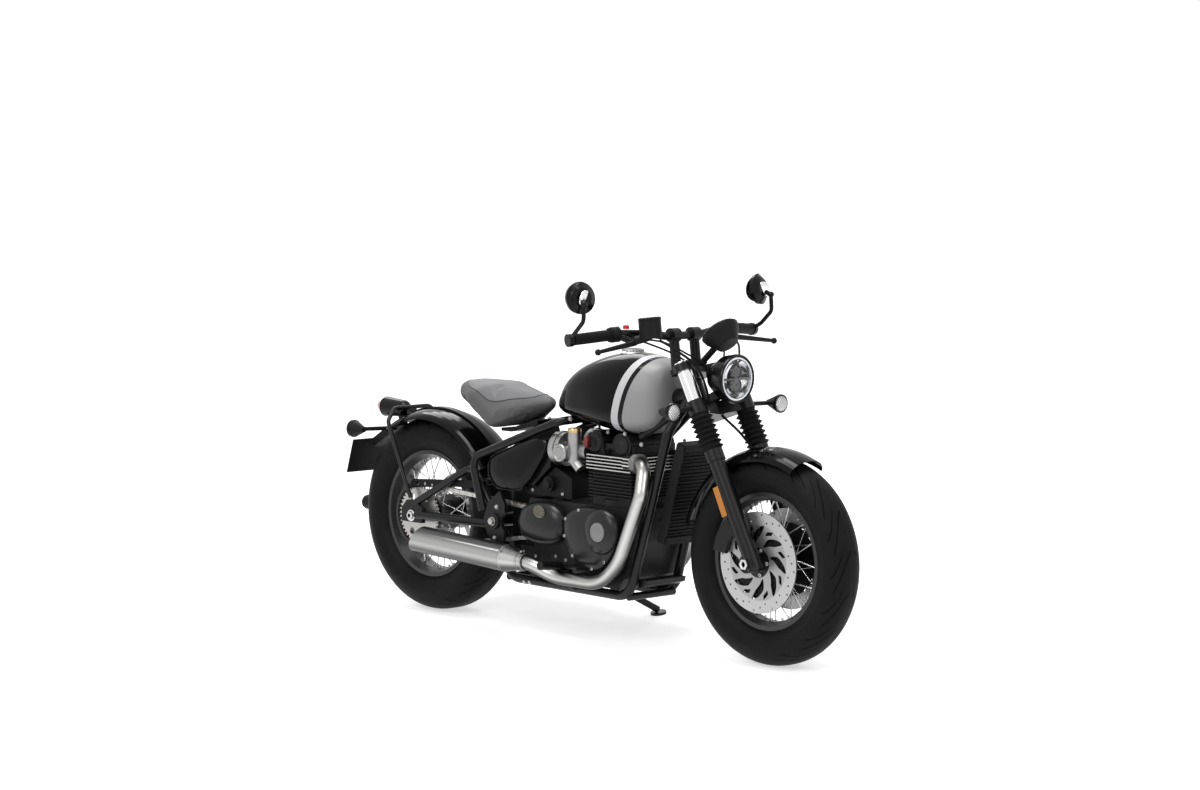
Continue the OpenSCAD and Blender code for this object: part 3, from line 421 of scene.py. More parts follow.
def make_finishes(paint):
    """All finishes of the machine."""
    for name, colour, metallic, roughness, scale in PLAIN_FINISHES:
        finish(name, colour, roughness[0], metallic=metallic).vary_roughness(*roughness, scale)
    lacquer_finishes()
    metal_finishes()
    rubber_and_plastic_finishes()
    for label, axle, width in (("front_tyre", FRONT_AXLE, 0.130), ("rear_tyre", REAR_AXLE, 0.150)):
        tyre_finish(label, axle, width)
    for label, axle in (("front_wheel", FRONT_AXLE), ("rear_wheel", REAR_AXLE)):
        wheel_finish(label, axle)
    for label, axle, inner in (("front_disc", FRONT_AXLE, 0.1155), ("rear_disc", REAR_AXLE, 0.0885)):
        disc_finish(label, axle, inner)
    cut_disc_finish()
    tank_finish([float(c) for c in paint.tank_front])
    seat_finishes()
    lamp_finishes()


def lacquer_finishes():
    """Gloss and satin blacks of the frame, the mudguards and the engine."""
    gloss = finish("gloss_black", (0.002, 0.002, 0.0022), 0.1)
    gloss.set("Specular IOR Level", 0.15).vary_roughness(0.08, 0.16, 18)

    frame = finish("frame_black", (0.004, 0.004, 0.0043), 0.3)
    frame.set("Specular IOR Level", 0.24).vary_roughness(0.26, 0.38, 25)
    frame.bump(frame.noise(1400, 2), 0.08, 0.0003, 0.002)

    engine = finish("engine_black", (0.018, 0.018, 0.019), 0.45)
    engine.set(
        "Base Color", engine.mix(engine.noise(120, 5), (0.004, 0.004, 0.004), (0.010, 0.010, 0.0105))
    )
    engine.set("Specular IOR Level", 0.2)
    engine.vary_roughness(0.38, 0.52, 60)
    engine.bump(engine.noise(1600, 3), 0.22, 0.0004, 0.0025)

    cover = finish("cover_black", (0.006, 0.006, 0.0062), 0.3)
    cover.set("Specular IOR Level", 0.32).vary_roughness(0.24, 0.36, 40)
    cover.bump(cover.noise(1200, 3), 0.12, 0.0003, 0.0025)

    fins = finish("finned_black", (0.02, 0.02, 0.02), 0.42)
    x, y, z = fins.xyz()
    level = (z - 0.549) / 0.0105
    edge = (abs(y) > 0.1165).maths("MAXIMUM", (x > 0.2525)) * (z > 0.545) * (z < 0.602)
    bright = edge * ((level % 1.0) < 0.34)
    fins.set("Base Color", fins.mix(bright, (0.004, 0.004, 0.0042), (0.55, 0.55, 0.53)))
    fins.set("Specular IOR Level", 0.15)
    fins.set("Metallic", bright)
    fins.set("Roughness", 0.45 - bright * 0.18)
    fins.bump(fins.noise(1500, 3), 0.2, 0.0004, 0.0008)


def metal_finishes():
    """Cast alloy, polished and brushed metals, and the chain; the alloy's and the pipes' colours carry
    painted shading and reflection.
    """
    alloy = finish("bright_alloy", (0.6, 0.59, 0.56), 0.34, metallic=1.0)
    cast = alloy.mix(alloy.noise(45, 4), (0.27, 0.27, 0.27), (0.40, 0.40, 0.395))
    # Painted shading and reflection: the alloy's colour darkens where it is seen edge on and where it faces
    # away from a band of sky
    painted_shading = alloy.facing(0.4).ramp(0.05, 0.8) * alloy.banded(0.3, 1.1, 0.35)
    alloy.set("Base Color", alloy.mix(painted_shading, (0.05, 0.05, 0.05), cast))
    alloy.vary_roughness(0.34, 0.48, 80)
    alloy.bump(alloy.noise(1200, 2), 0.1, 0.0003, 0.0018)

    pipe = finish("brushed_steel", (0.6, 0.59, 0.57), 0.26, metallic=1.0)
    x, y, z = pipe.xyz()
    heat = (z.ramp(0.42, 0.60)) * 0.5
    streak = pipe.noise(1.0, 2, (30, 900, 900))
    plain = pipe.mix(streak, (0.42, 0.42, 0.415), (0.60, 0.60, 0.59))
    toned = pipe.mix(heat, plain, (0.50, 0.47, 0.43))
    # Painted shading and reflection: the pipe's colour darkens towards edges seen edge on and where it
    # faces away from a band of sky
    painted_shading = pipe.facing(0.45).ramp(0.2, 0.95) * pipe.banded(0.22, 0.75, 0.12)
    pipe.set("Base Color", pipe.mix(painted_shading, (0.05, 0.05, 0.05), toned))
    pipe.set("Roughness", streak * 0.14 + 0.24)
    pipe.bump(streak, 0.06, 0.0003, 0.0015)

    chain = finish("chain_steel", (0.45, 0.44, 0.43), 0.35, metallic=0.9)
    chain.set("Base Color", chain.mix(chain.noise(260, 2), (0.30, 0.29, 0.28), (0.58, 0.57, 0.55)))


def rubber_and_plastic_finishes():
    """Rubbers, plastics and the radiator's core."""
    rubber = finish("soft_rubber", (0.007, 0.007, 0.0072), 0.62)
    rubber.set("Specular IOR Level", 0.1).vary_roughness(0.55, 0.7, 50)
    rubber.bump(rubber.noise(700, 3), 0.15, 0.0004, 0.001)

    plastic = finish("matte_black", (0.007, 0.007, 0.0072), 0.5)
    plastic.set("Specular IOR Level", 0.13).vary_roughness(0.44, 0.58, 60)
    plastic.bump(plastic.noise(2200, 2), 0.18, 0.0003, 0.0015)

    shiny = finish("gloss_plastic", (0.003, 0.003, 0.0032), 0.2)
    shiny.set("Specular IOR Level", 0.18).vary_roughness(0.16, 0.26, 40)

    core = finish("radiator_core", (0.02, 0.02, 0.022), 0.5)
    x, y, z = core.xyz()
    lines = ((z * 900).sin() * 0.5 + 0.5) * 0.6 + ((y * 1600).sin() * 0.5 + 0.5) * 0.4
    core.set("Base Color", core.mix(lines, (0.002, 0.002, 0.002), (0.012, 0.012, 0.0125)))
    core.set("Specular IOR Level", 0.12)
    core.bump(lines, 0.5, 0.001)


def tyre_finish(label, axle, width):
    """Tyre rubber with curved grooves across its tread, their insides painted near-black as painted shade.
    """
    tyre = finish(label, (0.012, 0.012, 0.0125), 0.55)
    r, turn = tyre.about(axle)
    across = abs(tyre.xyz()[1]) / (width / 2)
    # Long slanted sipes that curve back towards the shoulder
    phase = (turn * (16 / (2 * math.pi)) + across * across * 1.5) % 1.0
    deep = (abs(phase - 0.5) < 0.06) * (across > 0.1) * (across < 0.84) * (r > axle.z - 0.06)
    second = (turn * (16 / (2 * math.pi)) + across * 1.7 + 0.1) % 1.0
    short = (abs(second - 0.5) < 0.04) * (across > 0.5) * (across < 0.93) * (r > axle.z - 0.06)
    groove = deep.maths("MAXIMUM", short)
    side = (abs(r - 0.236) < 0.0012).maths("MAXIMUM", (abs(r - 0.262) < 0.0010)) * 0.6
    worn = tyre.noise(30, 4)
    base = tyre.mix(worn, (0.005, 0.005, 0.0051), (0.011, 0.011, 0.0113))
    # Painted shade: the grooves' colour is near-black, standing in for the shade inside them
    tyre.set("Base Color", tyre.mix(groove, base, (0.0005, 0.0005, 0.0005)))
    tyre.set("Specular IOR Level", 0.07)
    tyre.set("Roughness", worn * 0.16 + 0.44)
    tyre.bump(side - groove + tyre.noise(900, 2) * 0.06, 0.9, 0.004)


def wheel_finish(label, axle):
    """Black rim and hub with bright spokes between."""
    wheel = finish(label, (0.02, 0.02, 0.02), 0.35)
    r = wheel.about(axle)[0]
    spoke = (r > 0.0605) * (r < 0.1835)
    wheel.set("Base Color", wheel.mix(spoke, (0.012, 0.012, 0.013), (0.62, 0.62, 0.62)))
    wheel.set("Metallic", spoke)
    wheel.set("Roughness", 0.34 - spoke * 0.1)
    wheel.bump(wheel.noise(900, 2), 0.05, 0.0003)


def disc_finish(label, axle, inner):
    """Disc with a turned ring outside its inner radius."""
    disc = finish(label, (0.5, 0.5, 0.5), 0.3, metallic=1.0)
    r = disc.about(axle)[0]
    ring = r > inner
    rings = (r * 5200).sin() * 0.5 + 0.5
    swept = disc.mix(rings, (0.50, 0.50, 0.50), (0.66, 0.66, 0.66))
    disc.set("Base Color", disc.mix(ring, (0.42, 0.42, 0.43), swept))
    disc.set("Roughness", rings * 0.1 + 0.24)
    disc.bump(rings, 0.08, 0.0003, 0.0006)


def cut_disc_finish():
    """Front disc, its slots and holes cut out by its alpha."""
    cut = finish("front_cut", (0.5, 0.5, 0.5), 0.3, metallic=0.9)
    r, turn = cut.about(FRONT_AXLE)
    turn = turn / (2 * math.pi)
    # Eight flame slots that swirl outwards between the hub and the swept ring
    swirl = (turn * 8 + (r - 0.05) * 11) % 1.0
    width = (1 - abs((r - 0.083) / 0.033)).maths("MAXIMUM", 0.0).maths("POWER", 0.6) * 0.25
    slots = (abs(swirl - 0.5) < width) * (r > 0.052)
    small = (turn * 8 + (r - 0.05) * 11 + 0.5) % 1.0
    width = (1 - abs((r - 0.101) / 0.013)).maths("MAXIMUM", 0.0) * 0.14
    slots = slots.maths("MAXIMUM", abs(small - 0.5) < width)
    for k in range(3):
        off = ((turn * 12 + k / 3) % 1.0 - 0.5) * (2 * math.pi / 12) * r
        away = r - (0.127 + 0.010 * k)
        slots = slots.maths("MAXIMUM", (off * off + away * away) < 0.0029**2)
    rings = (r * 5200).sin() * 0.5 + 0.5
    swept = cut.mix(rings, (0.40, 0.40, 0.40), (0.50, 0.50, 0.50))
    cut.set(
        "Base Color",
        cut.mix(r > 0.046, (0.03, 0.03, 0.03), cut.mix(r > 0.116, (0.34, 0.34, 0.34), swept))
    )
    cut.set("Roughness", rings * 0.1 + 0.28)
    cut.set("Alpha", 1 - slots)


def tank_finish(front):
    """Gloss black at the rear, a silver front panel, and a pale stripe and pinstripe between."""
    tank = finish("tank_paint", (0.006, 0.006, 0.007), 0.12)
    x, y, z = tank.xyz()
    height = z - 0.76
    ahead = x - (height * height * 0.5 + height * 0.26 + 0.178)
    flake = tank.noise(3000, 1)
    silver = tank.mix(flake, [c * 0.74 for c in front], [c * 0.84 for c in front])
    pale = tank.mix(flake, (0.44, 0.44, 0.45), (0.52, 0.52, 0.53))
    colour = tank.mix(ahead > 0.0, (0.0015, 0.0015, 0.0017), pale)
    colour = tank.mix(ahead > 0.028, colour, (0.008, 0.008, 0.009))
    colour = tank.mix(ahead > 0.045, colour, silver)
    bright = (ahead > 0.045).maths("MAXIMUM", (ahead > 0.0) * (ahead < 0.028))
    tank.set("Base Color", colour)
    tank.set("Metallic", bright * 0.12)
    tank.set("Roughness", bright * 0.36 + 0.09)
    tank.set("Specular IOR Level", bright * 0.2 + 0.13)


def seat_finishes():
    leather = finish("seat_leather", (0.1, 0.1, 0.105), 0.5)
    cells = leather.noise(420, kind="ShaderNodeTexVoronoi")
    patches = leather.noise(14, 4)
    leather.set("Base Color", leather.mix(patches, (0.098, 0.099, 0.102), (0.115, 0.117, 0.121)))
    leather.set("Roughness", patches * 0.06 + 0.52)
    leather.bump(cells + leather.noise(1100, 2) * 0.4, 0.22, 0.0007)

    side = finish("seat_side", (0.06, 0.061, 0.063), 0.52)
    side.vary_roughness(0.46, 0.6, 40)
    side.set("Base Color", side.mix(side.noise(14, 4), (0.05, 0.05, 0.052), (0.075, 0.076, 0.078)))
    side.bump(side.noise(420, kind="ShaderNodeTexVoronoi"), 0.22, 0.0007)


def lamp_finishes():
    """Glass, lenses and what glows."""
    glass = finish("lamp_glass", (1, 1, 1), 0.02, transmission_weight=1.0, ior=1.3)
    glass.bump(glass.noise(20, 1), 0.02, 0.0005)
    glow = finish(
        "light_ring", (0.5, 0.52, 0.54), 0.3, emission_color=(0.9, 0.95, 1, 1), emission_strength=0.45
    )
    glow.vary_roughness(0.25, 0.4, 30)
    red = finish("red_lens", (0.42, 0.012, 0.01), 0.12, coat_weight=1.0, coat_roughness=0.03)
    x, y, z = red.xyz()
    red.bump((y * 1500).sin() * (z * 1500).sin(), 0.2, 0.0008)
    amber = finish("amber_lens", (0.44, 0.15, 0.006), 0.2)
    x, y, z = amber.xyz()
    amber.bump((y * 1800).sin() * (z * 1800).sin(), 0.25, 0.0008)
    clear = finish("clear_lens", (0.6, 0.6, 0.61), 0.16, metallic=0.9)
    x, y, z = clear.xyz()
    ribs = (y * 900).sin() * (z * 700).sin()
    clear.set("Base Color", clear.mix(ribs * 0.5 + 0.5, (0.16, 0.16, 0.165), (0.72, 0.72, 0.73)))
    clear.bump(ribs, 0.5, 0.0012)
    dial = finish("dial_face", (0.02, 0.02, 0.022), 0.3, coat_weight=1.0, coat_roughness=0.02)
    dial.vary_roughness(0.25, 0.4, 40)


# The model's solids by the finish they wear
CAD_FINISHES = {
    "frame_black": "frame cradle swingarm swingarm_tubes side_stand fork_yokes fork_sliders handlebar "
    "mudguard_stay footrests shock_absorber",
    "engine_black": "crankcase cylinder_block cam_cover clutch_cover alternator_cover sprocket_cover "
    "rear_caliper front_calipers",
    "finned_black": "cylinder_head",
    "bright_alloy": "throttle_bodies fuel_cap",
    "gloss_plastic": "side_panels tail_lamp mirrors headlight",
    "brushed_steel": "exhaust_pipes silencers",
    "radiator_core": "radiator",
    "tank_paint": "fuel_tank",
    "seat_leather": "seat_pad",
    "matte_black": "battery_box seat_pan number_plate chain_guard controls instrument front_indicators "
    "rear_indicators",
    "gloss_black": "front_mudguard rear_mudguard",
    "red_lens": "tail_lens",
    "chain_steel": "rear_sprocket",
    "chain_oiled": "drive_chain",
    "chrome": "fork_tubes front_spindle",
    "soft_rubber": "fork_gaiters grips",
    "front_tyre": "front_tyre",
    "rear_tyre": "rear_tyre",
    "front_wheel": "front_rim",
    "rear_wheel": "rear_rim",
    "front_disc": "front_discs",
    "rear_disc": "rear_disc",
    "lamp_glass": "headlight_lens",
}


def paint_nodes():
    """Gives every solid of the model its own finish."""
    for label, names in CAD_FINISHES.items():
        for name in names.split():
            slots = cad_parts[name].data.materials
            if not len(slots):
                slots.append(mat(label))
            for i in range(len(slots)):
                slots[i] = mat(label)


def spread(table, places):
    """Rows of numbers interpolated along their first column by a monotone smooth curve."""
    made = []
    for x in places:
        i = max(k for k in range(len(table)) if table[k][0] <= x or k == 0)
        i = min(i, len(table) - 2)
        a, b = table[i], table[i + 1]
        before, after = table[max(i - 1, 0)], table[min(i + 2, len(table) - 1)]
        t = (x - a[0]) / (b[0] - a[0])
        row = []
        for k in range(1, len(a)):
            step = b[0] - a[0]
            ma = (b[k] - before[k]) / (b[0] - before[0]) * step
            mb = (after[k] - a[k]) / (after[0] - a[0]) * step
            row.append(
                (2 * t**3 - 3 * t * t + 1) * a[k]
                + (t**3 - 2 * t * t + t) * ma
                + (3 * t * t - 2 * t**3) * b[k]
                + (t**3 - t * t) * mb
            )
        made.append(row)
    return made


# Tank along its length: x, half width, low edge, top, height of the widest line, all in millimetres
TANK_TABLE = [
    (-172, 10, 724, 738, 732),
    (-150, 46, 712, 766, 738),
    (-100, 88, 700, 818, 752),
    (-40, 112, 690, 862, 760),
    (30, 124, 680, 892, 762),
    (100, 130, 668, 911, 760),
    (170, 130, 662, 918, 760),
    (230, 124, 664, 913, 764),
    (280, 108, 674, 903, 772),
    (312, 84, 694, 890, 784),
    (330, 52, 724, 868, 798),
    (337, 12, 790, 820, 806),
]


def build_tank():
    """Tank skinned over its table's sections, with knee hollows, and the filler."""
    rows = []
    count = 34
    low, high = TANK_TABLE[0][0], TANK_TABLE[-1][0]
    places = [low + (high - low) * (0.5 - 0.5 * math.cos(math.pi * i / count)) for i in range(count + 1)]
    for x, (half, base, top, waist) in zip(places, spread(TANK_TABLE, places)):
        ring = []
        for a in turns(40):
            c, s = math.cos(a), math.sin(a)
            y = half * math.copysign(abs(c) ** 0.82, c)
            rise = top - waist if s > 0 else waist - base
            z = waist + rise * math.copysign(abs(s) ** (0.86 if s > 0 else 0.62), s)
            # Knee hollow: the flank behind the widest line is drawn in
            if s > -0.7 and x < 120:
                near = max(0.0, 1 - abs(z - 770) / 90) * max(0.0, min(1.0, (120 - x) / 120))
                y -= math.copysign(9 * near * near, y) if abs(y) > 30 else 0
            ring.append(mm(x, y, z))
        rows.append(ring)
    form = Form().grid(rows, closed=True, caps=True)
    form.build("tank_shell", ["tank_paint"], "chassis", ["fuel_tank"], "tank_paint", angle=70, subdivide=1)
    # Filler: knurled cap on a raised ring
    ring = Form()
    up = Vector((0.02, 0, 1))
    ring.turned(mm(138, 0, 914), up, [(42, -2), (42, 2), (40, 4), (36, 4.5), (35, 2)], 48)
    ring.build("filler_ring", ["polished_alloy"], "chassis", slot="bright_alloy")
    cap = Form().turned(
        mm(138, 0, 914), up, [(34.5, 1), (34.5, 9), (33, 11), (26, 12.5), (12, 13.4), (0.01, 13.6)], 48
    )
    for k in range(24):
        a = math.radians(15 * k)
        cap.turned(
            mm(138 + 33.5 * math.cos(a), 33.5 * math.sin(a), 914), up, [(2.2, 1), (2.2, 9.5), (0.01, 10)],
            8
        )
    cap.build("filler_cap", ["bright_alloy"], "chassis", ["fuel_cap"], "bright_alloy")


def soft_copy(node, name, finishes, voxel, swell, cap, rounding):
    """Padded piece grown from a node's solid: remeshed, puffed up by cloth pressure and smoothed."""
    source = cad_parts[node]
    mesh = source.data.copy()
    mesh.materials.clear()
    piece = bpy.data.objects.new(name, mesh)
    bpy.context.scene.collection.objects.link(piece)
    tool = piece.modifiers.new("remesh", "REMESH")
    tool.mode, tool.voxel_size = "VOXEL", voxel * MM
    tool = piece.modifiers.new("round", "SMOOTH")
    tool.factor, tool.iterations = 0.5, rounding
    settle(piece)
    before = [v.co.copy() for v in piece.data.vertices]
    cloth = piece.modifiers.new("swell", "CLOTH")
    cloth.settings.use_pressure = True
    cloth.settings.uniform_pressure_force = swell
    cloth.settings.effector_weights.gravity = 0
    cloth.point_cache.frame_start, cloth.point_cache.frame_end = 1, 20
    for k in range(1, 21):
        bpy.context.scene.frame_set(k)
    settle(piece)
    bpy.context.scene.frame_set(1)
    for v, old in zip(piece.data.vertices, before):
        step = v.co - old
        if step.length > cap * MM:
            v.co = old + step.normalized() * cap * MM
    for label in finishes:
        piece.data.materials.append(mat(label))
    tool = piece.modifiers.new("smooth", "SUBSURF")
    tool.levels = tool.render_levels = 1
    piece.data.shade_smooth()
    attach(piece, "chassis")
    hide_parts(node)
    return piece


def settle(piece):
    """Puts the piece's modifiers into its mesh."""
    graph = bpy.context.evaluated_depsgraph_get()
    baked = bpy.data.meshes.new_from_object(piece.evaluated_get(graph), depsgraph=graph)
    piece.modifiers.clear()
    piece.data = baked


def seat_ring(tree, centre, share, count=96):
    """Closed line on the seat, at a share of its outline, dropped onto its top."""
    down, back = STANCE.to_3x3() @ Vector((0, 0, -1)), STANCE.inverted()
    ways = [Vector((math.cos(a), math.sin(a), 0)) for a in turns(count)]
    reach = []
    for out in ways:
        far = 0.0
        for z in range(650, 780, 10):
            level = Vector((centre.x, centre.y, z * MM))
            hit = tree.ray_cast(STANCE @ (level + out * 0.5), STANCE.to_3x3() @ -out)[0]
            if hit is not None:
                far = max(far, (back @ hit - level).dot(out))
        reach.append(far)
    line = []
    for k, out in enumerate(ways):
        even = sum(reach[(k + j) % count] for j in range(-4, 5)) / 9
        spot = Vector((centre.x, centre.y, 0.9)) + out * even * share
        hit = tree.ray_cast(STANCE @ spot, down)[0]
        if hit is not None:
            line.append(back @ hit)
    return line


def build_seat():
    """Padded seat, its top inside a sewn line lighter than its sides."""
    seat = soft_copy(
        "seat_pad", "seat_cushion", ["seat_leather", "seat_side"], voxel=5, swell=4.0, cap=7, rounding=55,
    )
    tree = BVHTree.FromPolygons(
        [v.co for v in seat.data.vertices], [f.vertices[:] for f in seat.data.polygons]
    )
    centre = mm(-420, 0, 700)
    line = seat_ring(tree, centre, 0.87)
    # Faces outside the sewn line, or facing down, take the side's leather
    angles = [math.atan2(q.y - centre.y, q.x - centre.x) for q in line]
    reach = [math.hypot(q.x - centre.x, q.y - centre.y) for q in line]
    back = STANCE.inverted()
    for face in seat.data.polygons:
        q = back @ face.center
        a = math.atan2(q.y, q.x - centre.x)
        near = min(range(len(line)), key=lambda i: abs(math.remainder(angles[i] - a, 2 * math.pi)))
        inside = math.hypot(q.x - centre.x, q.y) < reach[near] and face.normal.z > 0.1
        face.material_index = 0 if inside else 1
    welt = Form()
    smooth = [(line[i - 1] + line[i] * 2 + line[(i + 1) % len(line)]) / 4 for i in range(len(line))]
    welt.tube(smooth + smooth[:1], 1.9, 8, caps=False)
    welt.build("seat_welt", ["seat_welt"], "chassis", slot="seat_leather")


def build_wheels():
    """Valve stems, spoke nipples and axle nuts."""
    for label, axle, body in (("front", FRONT_AXLE, "front_wheel"), ("rear", REAR_AXLE, "rear_wheel")):
        form = Form()
        stem = around(math.radians(200))
        form.turned(
            axle + stem * 0.187, -stem, [
                (4.2, -3), (4.2, 10), (3, 12), (3, 30), (3.6, 30), (3.6, 36), (0.01, 37)
            ], 12
        )
        for k, a in enumerate(turns(32)):
            out = around(a)
            side = 5 if k % 2 else -5
            form.turned(axle + out * 0.176 + LEFT * side * MM, out, [(3.1, 0), (3.6, 3), (3.6, 13)], 8)
        form.build(label + "_nipples", ["spoke_steel"], body, slot="chrome_tube")
    nuts = Form()
    for s in (-1, 1):
        nuts.turned(
            FRONT_AXLE + LEFT * s * 0.133, LEFT * s, [(17, 0), (17, 5), (15, 6.5), (10, 6.5), (8.2, 4)], 6
        )
    nuts.build("front_axle_nuts", ["spoke_steel"], "steering", slot="chrome_tube")
    nuts = Form()
    for s in (-1, 1):
        nuts.turned(REAR_AXLE + LEFT * s * 0.1335, LEFT * s, [(19, 0), (19, 3), (14, 4)], 24)
        nuts.turned(REAR_AXLE + LEFT * s * 0.138, LEFT * s, [(14, 0), (14, 6), (12.5, 7.5), (7.5, 7.5)], 6)
    nuts.build("rear_axle_nuts", ["spoke_steel"], "chassis", slot="chrome_tube")


# Outlines of the engine's covers, seen from the side: x and z in millimetres
CLUTCH_OUTLINE = [
    (-16, 330), (-12, 390), (52, 426), (168, 426), (216, 396), (222, 330), (180, 258), (120, 228),
    (24, 264)
]
BARREL_OUTLINE = [
    (-238, 350), (-214, 402), (-150, 426), (-80, 424), (-34, 392), (-26, 340), (-64, 300), (-140, 290),
    (-212, 306)
]


def build_covers():
    """Clutch cover and barrel-shaped sprocket cover, domed over their outlines."""
    covers = Form()
    covers.domed(CLUTCH_OUTLINE, -1, [(0, 112), (0, 140), (2, 148), (10, 153), (30, 158), (60, 160)])
    covers.turned(
        mm(162, -156, 360), RIGHT, [(72, 0), (70, 6), (64, 12), (44, 16), (34, 17), (0.01, 17)], 48
    )
    covers.build("clutch_housing", ["cover_black"], "chassis", ["clutch_cover"], "engine_cover", angle=55)
    barrel = Form().domed(
        BARREL_OUTLINE, -1, [(0, 112), (0, 130), (3, 140), (10, 150), (22, 157), (38, 161), (56, 163)]
    )
    barrel.build(
        "sprocket_housing", ["cover_black"], "chassis", ["sprocket_cover"], "engine_cover", angle=70
    )


def build_grille():
    """Oval grille on the barrel-shaped cover."""
    grille = Form()
    oval = [(26 * math.cos(a), 20 * math.sin(a)) for a in [math.radians(15 * k) for k in range(24)]]
    place = mm(-112, -158, 398)
    tilt = Vector((0.95, 0, -0.1)).normalized()
    rise = RIGHT.cross(tilt)
    grille.slab(oval, place, tilt, rise, 5)
    for h in (-12, -4, 4, 12):
        w = 22 * math.sqrt(1 - (h / 20) ** 2)
        across = (-1, -0.5, 0, 0.5, 1)
        line = [place + (RIGHT * 6 + tilt * x * w + rise * (h + 2 * x * x)) * MM for x in across]
        grille.tube(line, 2.2, 6)
    grille.build("cover_grille", ["grille_metal"], "chassis", slot="engine_cover")


def build_cover_screws():
    """Screws inside the clutch cover's outline and round the alternator cover."""
    screws = Form()
    middle = sum((Vector(q) for q in CLUTCH_OUTLINE), Vector((0, 0))) / len(CLUTCH_OUTLINE)
    for x, z in CLUTCH_OUTLINE:
        screws.socket(mm(x + (middle.x - x) * 0.09, -149, z + (middle.y - z) * 0.09), RIGHT, 10, 6)
    for a in turns(8):
        screws.socket(mm(118 + 80 * math.cos(a), 150, 320 + 80 * math.sin(a)), -RIGHT, 9, 4)
    screws.build("cover_screws", ["chain_steel"], "chassis", slot="chrome_tube")


def build_roundels():
    """Bright roundels on the covers, left blank."""
    badge = Form()
    for x, z, y, r in ((162, 360, -172, 26), (118, 320, 162, 25)):
        out = RIGHT if y < 0 else -RIGHT
        badge.turned(
            mm(x, y, z), out,
            [(r + 5, -1), (r + 4, 3), (r, 4), (r - 2, 3.2), (r - 6, 3.6), (r - 12, 4.4), (0.01, 4.8)], 40
        )
    badge.build("cover_roundels", ["cover_badge"], "chassis", slot="bright_alloy")


def build_head_trim():
    """Round caps on the cam cover's ends and finned clamps at the exhaust ports."""
    ends = Form()
    for s in (-1, 1):
        for x in (72, 190):
            ends.turned(
                mm(x, s * 98, 628.5), LEFT * s,
                [(30, 0), (30, 3), (26, 5), (12, 5), (10, 3.5), (0.01, 3.5)], 32
            )
    ends.build("cam_end_caps", ["engine_black"], "chassis", slot="engine_black")
    clamp = Form()
    for s in (-1, 1):
        start, end = mm(262, s * 104, 579), mm(286, s * 110, 581)
        for k in range(6):
            clamp.turned(
                start.lerp(end, k / 6), end - start, [(23, 0), (31, 0.4), (31, 2.2), (23, 2.6)], 32
            )
    clamp.build("exhaust_clamps", ["bright_alloy"], "chassis", slot="bright_alloy")


def build_throttle_trim():
    """Round float covers, brass caps and the red plug between them."""
    carb = Form()
    for s in (-1, 1):
        out = LEFT * s
        carb.turned(
            mm(-44, s * 140, 590), out, [(29, -3), (30, 2), (27, 6), (20, 7), (18, 5), (0.01, 5)], 40
        )
        carb.turned(mm(-108, s * 76, 596), -AHEAD, [(56, -22), (57, -10), (56, 0), (48, 4)], 48)
        for k in range(4):
            a = math.radians(45 + 90 * k)
            carb.socket(mm(-44 + 24 * math.cos(a), s * 145, 590 + 24 * math.sin(a)), out, 6, 3)
    carb.build("throttle_covers", ["bright_alloy"], "chassis", slot="bright_alloy")
    caps = Form()
    for s in (-1, 1):
        caps.turned(
            mm(-14, s * 104, 656), UP,
            [(21, 0), (21.5, 3), (21.5, 9), (20, 12.5), (15, 13.5), (0.01, 13.5)], 32
        )
    caps.build("brass_caps", ["brass_cap"], "chassis", slot="bright_alloy")
    plug = Form()
    plug.slab(
        [(-9, -16), (7, -20), (11, 6), (3, 18), (-7, 14)], mm(48, -103, 632), AHEAD, UP, 16
    )
    plug.build("red_connector", ["connector_red"], "chassis", slot="matte_black", bevel=2.5)


def bent_path(corners, radii, steps=10):
    """Straight runs joined by arcs, one radius a corner, in millimetres."""
    points = [Vector(c) for c in corners]
    path = [points[0]]
    for before, corner, after, radius in zip(points, points[1:], points[2:], radii):
        arrive, leave = (corner - before).normalized(), (after - corner).normalized()
        turn = arrive.angle(leave)
        back = radius * math.tan(turn / 2)
        inward = (leave - arrive).normalized()
        middle = corner + inward * (radius / math.cos(turn / 2))
        start = corner - arrive * back - middle
        axis = arrive.cross(leave).normalized()
        for k in range(steps + 1):
            path.append(middle + Matrix.Rotation(turn * k / steps, 3, axis) @ start)
    return [p * MM for p in path + [points[-1]]]


def build_exhaust():
    """Header pipes, and beads and clamps on the silencers."""
    front, rear = Vector((-148, -190, 236)), Vector((-640, -196, 260))
    along = (rear - front).normalized()
    corners = [
        (262, -104, 579), (312, -120, 583), (328, -150, 490), (234, -150, 266), (158, -152, 194.5),
        (-40, -160, 196), front - along * 30, front + along * 20
    ]
    path = bent_path(corners, (44, 44, 190, 130, 160, 160))
    pipes, beads = Form(), Form()
    for s in (1, -1):
        flip = Vector((1, s, 1))
        line = [p * flip for p in path]
        pipes.tube(line, 22.6, 40)
        way = Vector((along.x, along.y * s, along.z))
        start = front * flip * MM
        for h, r in ((-3, 27.5), (14, 29.5)):
            beads.turned(
                start, way,
                [(r - 3, h - 4), (r + 1.6, h - 3.4), (r + 2.4, h), (r + 1.6, h + 3.4), (r - 3, h + 4)], 40
            )
        beads.turned(start + way * 80 * MM, way, [(42, -4), (44.8, -3), (45.6, 0), (44.8, 3), (42, 4)], 56)
        beads.bolt(start + way * 6 * MM + Vector((0, 0, 31)) * MM, Vector((0, -s, 0.1)), 8, 12)
    pipes.build("header_pipes", ["brushed_steel"], "chassis", ["exhaust_pipes"], "steel_pipe", angle=60)
    beads.build("silencer_beads", ["brushed_steel"], "chassis", slot="steel_pipe")


